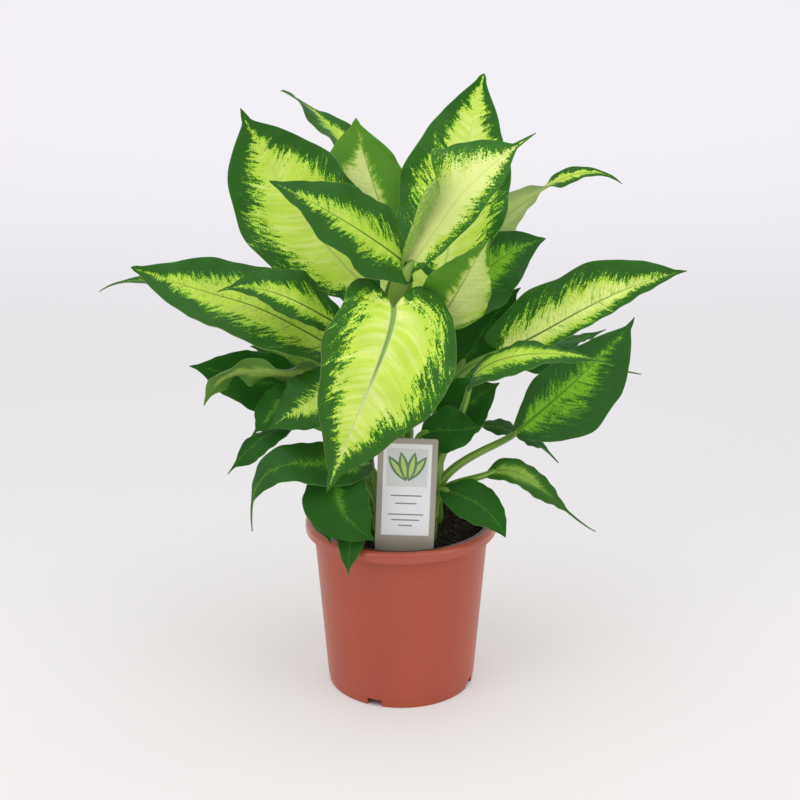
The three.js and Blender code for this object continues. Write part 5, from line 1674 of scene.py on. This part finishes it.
@dataclass
class Soil:
    """Potting mix: an uneven body in the pot, with crumbs and fibres lying on it."""

    bump: float = 0.0012
    roughness: float = 0.0011
    wall_gap: float = 0.0006
    rings: int = 60
    sectors: int = 160
    crumb_count: int = 2600
    crumb_size: Pair = (0.0006, 0.0019)
    lump_count: int = 260
    lump_size: Pair = (0.0016, 0.0036)
    fibre_count: int = 420
    fibre_length: float = 0.009
    top_area: float = 0.0177

    def _height(self, x: np.ndarray, y: np.ndarray) -> np.ndarray:
        """Gives the height of the mix's surface, coarse swells with finer lumps on them."""
        mm_x, mm_y = x * 1000.0, y * 1000.0
        swell = np.sin(0.13 * mm_x + 1.1) * np.cos(0.11 * mm_y) + 0.5 * np.sin(0.23 * (mm_x - mm_y))
        lump = np.sin(0.83 * mm_x + 1.7 * np.sin(0.41 * mm_y))
        lump *= np.sin(0.77 * mm_y + 1.3 * np.sin(0.53 * mm_x))
        grit = np.sin(2.1 * mm_x + 2.0 * np.sin(1.3 * mm_y)) * np.sin(1.9 * mm_y + 1.5 * np.sin(1.7 * mm_x))
        return SOIL_LEVEL + self.bump * swell + self.roughness * (0.7 * lump + 0.4 * grit)

    def _disc(self, radius: float) -> tuple[np.ndarray, np.ndarray]:
        """Lays out the round top surface as points and faces, with its rim in the last ring."""
        share = (np.arange(1, self.rings + 1) / self.rings)[:, None]
        turns = round_turns(self.sectors)
        x, y = radius * share * np.cos(turns), radius * share * np.sin(turns)
        z = self._height(x, y)
        points = np.stack([x, y, z], -1).reshape(-1, 3)
        middle = [[0.0, 0.0, float(self._height(np.zeros(1), np.zeros(1))[0])]]
        return np.concatenate([points, middle]), grid_faces(self.rings, self.sectors, wrap=True)[:, ::-1]

    def make(self, pot: Pot) -> list[bpy.types.Object]:
        """Builds the mix's body and what lies on it."""
        points, faces = self._disc(pot.wall_radius(SOIL_LEVEL) - pot.wall - self.wall_gap)
        top = new_mesh("soil_top", points, faces[:, ::-1].tolist())
        skin = PottingMix().build()
        lumps = PottingMix("potting_lumps", colour(34, 25, 18), colour(78, 58, 42), pale_share=0.4)
        fibres = PottingMix("potting_fibres", colour(92, 70, 46), colour(142, 116, 84), pale_share=0.5)
        return [
            add_object("soil_body", self._body(points, faces, pot), skin),
            self._scatter(top, "soil_crumbs", self.crumb_count, self.crumb_size, 1, 11, skin),
            self._scatter(top, "soil_lumps", self.lump_count, self.lump_size, 2, 23, lumps.build()),
            self._fibres(top, fibres.build()),
        ]

    def _body(self, points: np.ndarray, faces: np.ndarray, pot: Pot) -> bpy.types.Mesh:
        """Closes the top surface with a side and a bottom that follow the pot's floor."""
        floor = pot.notch_height + pot.floor_thickness + self.wall_gap
        hub = pot.hub_radius - pot.wall - self.wall_gap
        turns = round_turns(self.sectors)
        circle = np.stack([np.cos(turns), np.sin(turns)], -1)
        count = len(points)
        low = pot.floor_thickness + self.wall_gap
        rings = (
            (pot.wall_radius(floor) - pot.wall - self.wall_gap, floor),
            (hub + pot.hub_draft, floor),
            (hub, low),
        )
        extra = [np.column_stack([circle * size, np.full(self.sectors, z)]) for size, z in rings]
        all_points = np.concatenate([points, *extra, [[0.0, 0.0, low]]])
        column = np.arange(self.sectors)
        after = (column + 1) % self.sectors
        rim = (self.rings - 1) * self.sectors
        listed = faces[:, ::-1].tolist()
        middle_top = count - 1
        listed += np.stack([column, after, np.full_like(column, middle_top)], -1).tolist()
        listed += np.stack([rim + column, count + column, count + after, rim + after], -1).tolist()
        last = count
        for _ in rings[1:]:
            upper, last = last, last + self.sectors
            listed += np.stack([upper + column, last + column, last + after, upper + after], -1).tolist()
        bottom = len(all_points) - 1
        listed += np.stack([last + after, last + column, np.full_like(column, bottom)], -1).tolist()
        return new_mesh("soil_body", all_points, listed, smooth=True)

    def _scatter_tree(self, name: str, shape: Callable[[NodeGroup], bpy.types.NodeSocket]) -> NodeGroup:
        """Builds a tree that strews copies of a small shape over a surface and roughens them.

        Args:
            name: Name of the tree.
            shape: Adds the nodes of the small shape and gives their output.

        Returns:
            The tree, with its count, sizes, detail, roughness, seed and material as inputs.
        """
        sockets = (
            ("Count", "NodeSocketInt"), ("Smallest", "NodeSocketFloat"), ("Largest", "NodeSocketFloat"),
            ("Detail", "NodeSocketInt"), ("Roughness", "NodeSocketFloat"), ("Seed", "NodeSocketInt"),
            ("Material", "NodeSocketMaterial"),
        )
        group = NodeGroup(name, sockets)
        inputs = {0: group.given("Count"), 1: self.top_area}
        density = group.node("ShaderNodeMath", {"operation": "DIVIDE"}, inputs)
        inputs = {0: group.given("Geometry"), "Density": density.outputs[0], "Seed": group.given("Seed")}
        spots = group.node("GeometryNodeDistributePointsOnFaces", {"distribute_method": "RANDOM"}, inputs)
        inputs = {0: (0.0, 0.0, 0.0), 1: (6.28, 6.28, 6.28), "Seed": group.given("Seed")}
        turn = group.node("FunctionNodeRandomValue", {"data_type": "FLOAT_VECTOR"}, inputs)
        inputs = {2: group.given("Smallest"), 3: group.given("Largest"), "Seed": group.given("Seed")}
        size = group.node("FunctionNodeRandomValue", {"data_type": "FLOAT"}, inputs)
        inputs = {"Points": spots.outputs[0], "Instance": shape(group), "Rotation": turn.outputs[0]}
        copies = group.node("GeometryNodeInstanceOnPoints", {}, {**inputs, "Scale": size.outputs[1]})
        real = group.node("GeometryNodeRealizeInstances", {}, {0: copies.outputs[0]})
        rough = group.node("ShaderNodeTexNoise", {}, {"Scale": 700.0, "Detail": 2.0})
        inputs = {0: rough.outputs[1], 1: (0.5, 0.5, 0.5)}
        centred = group.node("ShaderNodeVectorMath", {"operation": "SUBTRACT"}, inputs)
        inputs = {0: centred.outputs[0], "Scale": group.given("Roughness")}
        scaled = group.node("ShaderNodeVectorMath", {"operation": "SCALE"}, inputs)
        moved = group.node("GeometryNodeSetPosition", {}, {0: real.outputs[0], "Offset": scaled.outputs[0]})
        group.close(moved.outputs[0])
        return group

    def _scatter(
        self, top: bpy.types.Mesh, name: str, count: int, size: Pair, detail: int, seed: int,
        material: bpy.types.Material,
    ) -> bpy.types.Object:
        """Strews rough grains over the top surface.

        Args:
            top: The surface.
            name: Name of the piece.
            count: About how many grains there are.
            size: Radius of the smallest and the largest.
            detail: Subdivisions of each ball.
            seed: Fixed seed of their places, turns and sizes.
            material: Their finish.

        Returns:
            All grains as one object.
        """
        def grain(group: NodeGroup) -> bpy.types.NodeSocket:
            """Gives a small ball of the wanted detail."""
            inputs = {"Radius": 1.0, "Subdivisions": group.given("Detail")}
            return group.node("GeometryNodeMeshIcoSphere", {}, inputs).outputs[0]

        tree = self._scatter_tree(name, grain)
        values = {
            "Count": count, "Smallest": size[0], "Largest": size[1], "Detail": detail,
            "Roughness": 1.6 * size[0], "Seed": seed, "Material": material,
        }
        return tree.bake(name, top.copy(), values)

    def _fibres(self, top: bpy.types.Mesh, material: bpy.types.Material) -> bpy.types.Object:
        """Strews thin bent fibres over the top surface."""
        def fibre(group: NodeGroup) -> bpy.types.NodeSocket:
            """Gives a thin bent rod of length 1."""
            inputs = {"Resolution": 7, "Radius": 0.9, "Sweep Angle": 1.1}
            arc = group.node("GeometryNodeCurveArc", {}, inputs)
            ring = group.node("GeometryNodeCurvePrimitiveCircle", {}, {"Resolution": 4, "Radius": 0.02})
            inputs = {"Curve": arc.outputs[0], "Profile Curve": ring.outputs[0], "Fill Caps": True}
            rod = group.node("GeometryNodeCurveToMesh", {}, inputs)
            inputs = {"Geometry": rod.outputs[0], "Translation": (-0.75, -0.45, 0.0)}
            return group.node("GeometryNodeTransform", {}, inputs).outputs[0]

        tree = self._scatter_tree("soil_fibres", fibre)
        values = {
            "Count": self.fibre_count, "Smallest": 0.4 * self.fibre_length, "Largest": self.fibre_length,
            "Detail": 1, "Roughness": 0.0012, "Seed": 37, "Material": material,
        }
        return tree.bake("soil_fibres", top.copy(), values)


@dataclass
class Label:
    """The stick-in plant label: a thin card with rounded corners and a pointed foot in the mix."""

    width: float = 0.050
    top: float = 0.109
    point_depth: float = 0.034
    thickness: float = 0.0009
    corner: float = 0.002
    corner_steps: int = 8
    centre: Pair = (0.0022, -0.065)
    lean: float = 2.0
    edge_round: float = 0.00018

    def _outline(self) -> np.ndarray:
        """Gives the card's outline from its point up the right side and down the left."""
        half = self.width / 2.0
        angles = np.radians(np.linspace(0.0, 90.0, self.corner_steps + 1))
        xs = half - self.corner + self.corner * np.cos(angles)
        zs = self.top - self.corner + self.corner * np.sin(angles)
        right = list(zip(xs, zs, strict=True))
        left = [(-x, z) for x, z in reversed(right)]
        point, shoulder = (0.0, -self.point_depth), (half, -self.corner)
        return np.array([point, shoulder, *right, *left, (-half, -self.corner)])

    def make(self) -> bpy.types.Object:
        """Builds and dresses the card."""
        outline = self._outline()
        count = len(outline)
        half = self.thickness / 2.0
        shrink = 1.0 - self.edge_round / (self.width / 2.0)
        middle = np.array([0.0, self.top / 2.0])
        inner = middle + (outline - middle) * shrink
        edge = half - self.edge_round
        layers = ((inner, -half), (outline, -edge), (outline, edge), (inner, half))
        sheets = [np.column_stack([flat[:, 0], np.full(count, y), flat[:, 1]]) for flat, y in layers]
        points = np.concatenate(sheets)
        faces = grid_faces(len(layers), count, wrap=True)[:, ::-1].tolist()
        faces.append(list(range(count)))
        faces.append(list(range(4 * count - 1, 3 * count - 1, -1)))
        front = (points[:, 1] < 0).astype(float)
        flat_place = np.stack([points[:, 0], points[:, 2], front], -1)
        turn = math.radians(self.lean)
        x = points[:, 0] * math.cos(turn) + points[:, 2] * math.sin(turn) + self.centre[0]
        z = points[:, 2] * math.cos(turn) - points[:, 0] * math.sin(turn) + SOIL_LEVEL
        placed = np.stack([x, points[:, 1] + self.centre[1], z], -1)
        mesh = new_mesh("label_card", placed, faces)
        add_vectors(mesh, "card_place", flat_place)
        return add_object("label_card", mesh, CardPrint().build())


@dataclass(frozen=True)
class Softbox:
    """One rectangular soft light, its place and what it points at."""

    name: str
    place: Point
    aim: Point
    size: Pair
    power: float

    def hang(self) -> None:
        """Adds the light to the scene."""
        light = bpy.data.lights.new(self.name, "AREA")
        light.shape = "RECTANGLE"
        light.size, light.size_y = self.size
        light.energy = self.power
        holder = bpy.data.objects.new(self.name, light)
        holder.location = self.place
        holder.rotation_euler = (Vector(self.aim) - Vector(self.place)).to_track_quat("-Z", "Y").to_euler()
        bpy.context.scene.collection.objects.link(holder)


@dataclass
class Studio:
    """Plain pale cove, soft lights and the camera at the photograph's place."""

    camera_place: Point = (-0.001, -1.263, 0.677)
    camera_pitch: float = 18.1
    focal_pixels: float = 1531.0
    image_pixels: float = 800.0
    sensor: float = 36.0
    floor_reach: float = 3.4
    cove_start: float = 1.6
    cove_radius: float = 1.6
    cove_half_width: float = 4.0
    backdrop_height: float = 2.5
    sky: Colour = (0.97, 0.96, 1.0, 1.0)
    sky_strength: float = 0.7
    lights: tuple[Softbox, ...] = (
        Softbox("overhead", (0.0, -0.3, 2.2), (0.0, 0.0, 0.2), (2.6, 2.2), 16.0),
        Softbox("left_front", (-1.7, -1.5, 1.5), (0.0, 0.0, 0.3), (1.4, 1.4), 9.0),
        Softbox("right_front", (1.9, -1.2, 1.2), (0.0, 0.0, 0.3), (1.2, 1.4), 6.0),
    )

    def _cove(self) -> bpy.types.Object:
        """Makes the floor that curves up into the backdrop."""
        turns = np.radians(np.linspace(0.0, 90.0, 33))
        ys = [-self.floor_reach, *(self.cove_start + self.cove_radius * np.sin(turns)).tolist()]
        zs = [0.0, *(self.cove_radius * (1.0 - np.cos(turns))).tolist()]
        ys.append(ys[-1])
        zs.append(zs[-1] + self.backdrop_height)
        sides = (-self.cove_half_width, self.cove_half_width)
        points = np.array([(x, y, z) for y, z in zip(ys, zs, strict=True) for x in sides])
        mesh = new_mesh("studio_cove", points, grid_faces(len(ys), 2).tolist(), smooth=True)
        cove = add_object("studio_cove", mesh, StudioPaper().build())
        return cove

    def _camera(self) -> None:
        """Sets the camera by the fitted place, pitch and focal length."""
        data = bpy.data.cameras.new("photo_camera")
        data.sensor_width = self.sensor
        data.lens = self.focal_pixels / self.image_pixels * self.sensor
        camera = bpy.data.objects.new("photo_camera", data)
        camera.location = self.camera_place
        camera.rotation_euler = (math.radians(90.0 - self.camera_pitch), 0.0, 0.0)
        bpy.context.scene.collection.objects.link(camera)
        bpy.context.scene.camera = camera

    def make(self) -> None:
        """Sets the stage."""
        self._cove()
        self._camera()
        for light in self.lights:
            light.hang()
        world = bpy.data.worlds.new("studio_air")
        world.use_nodes = True
        background = world.node_tree.nodes["Background"]
        background.inputs[0].default_value = self.sky
        background.inputs[1].default_value = self.sky_strength
        bpy.context.scene.world = world
        bpy.context.scene.view_settings.view_transform = "Standard"


def make_leaves() -> None:
    """Builds every leaf blade in place of its solid."""
    shop = BladeShop(skins={skin.name: skin.build() for skin in LEAF_SKINS})
    for blade in BLADES:
        settle(shop.make(blade), [blade.name])


def make_shoots() -> None:
    """Builds every cane with its stalks in place of its solid."""
    shop = StemShop()
    blades = {blade.name: blade for blade in BLADES}
    for shoot in SHOOTS:
        settle(shop.make(shoot, blades), [f"shoot_{shoot.number}"])


def main() -> None:
    """Builds the dressed plant in the frame."""
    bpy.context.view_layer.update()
    Studio().make()
    pot = Pot()
    settle(pot.make(), ["pot"])
    body, *loose = Soil().make(pot)
    settle(body, ["soil"])
    for piece in loose:
        settle(piece, [])
    settle(Label().make(), ["label"])
    make_shoots()
    make_leaves()


if __name__ == "__main__":
    logging.basicConfig(level=logging.INFO, format="%(name)s: %(message)s")
    main()
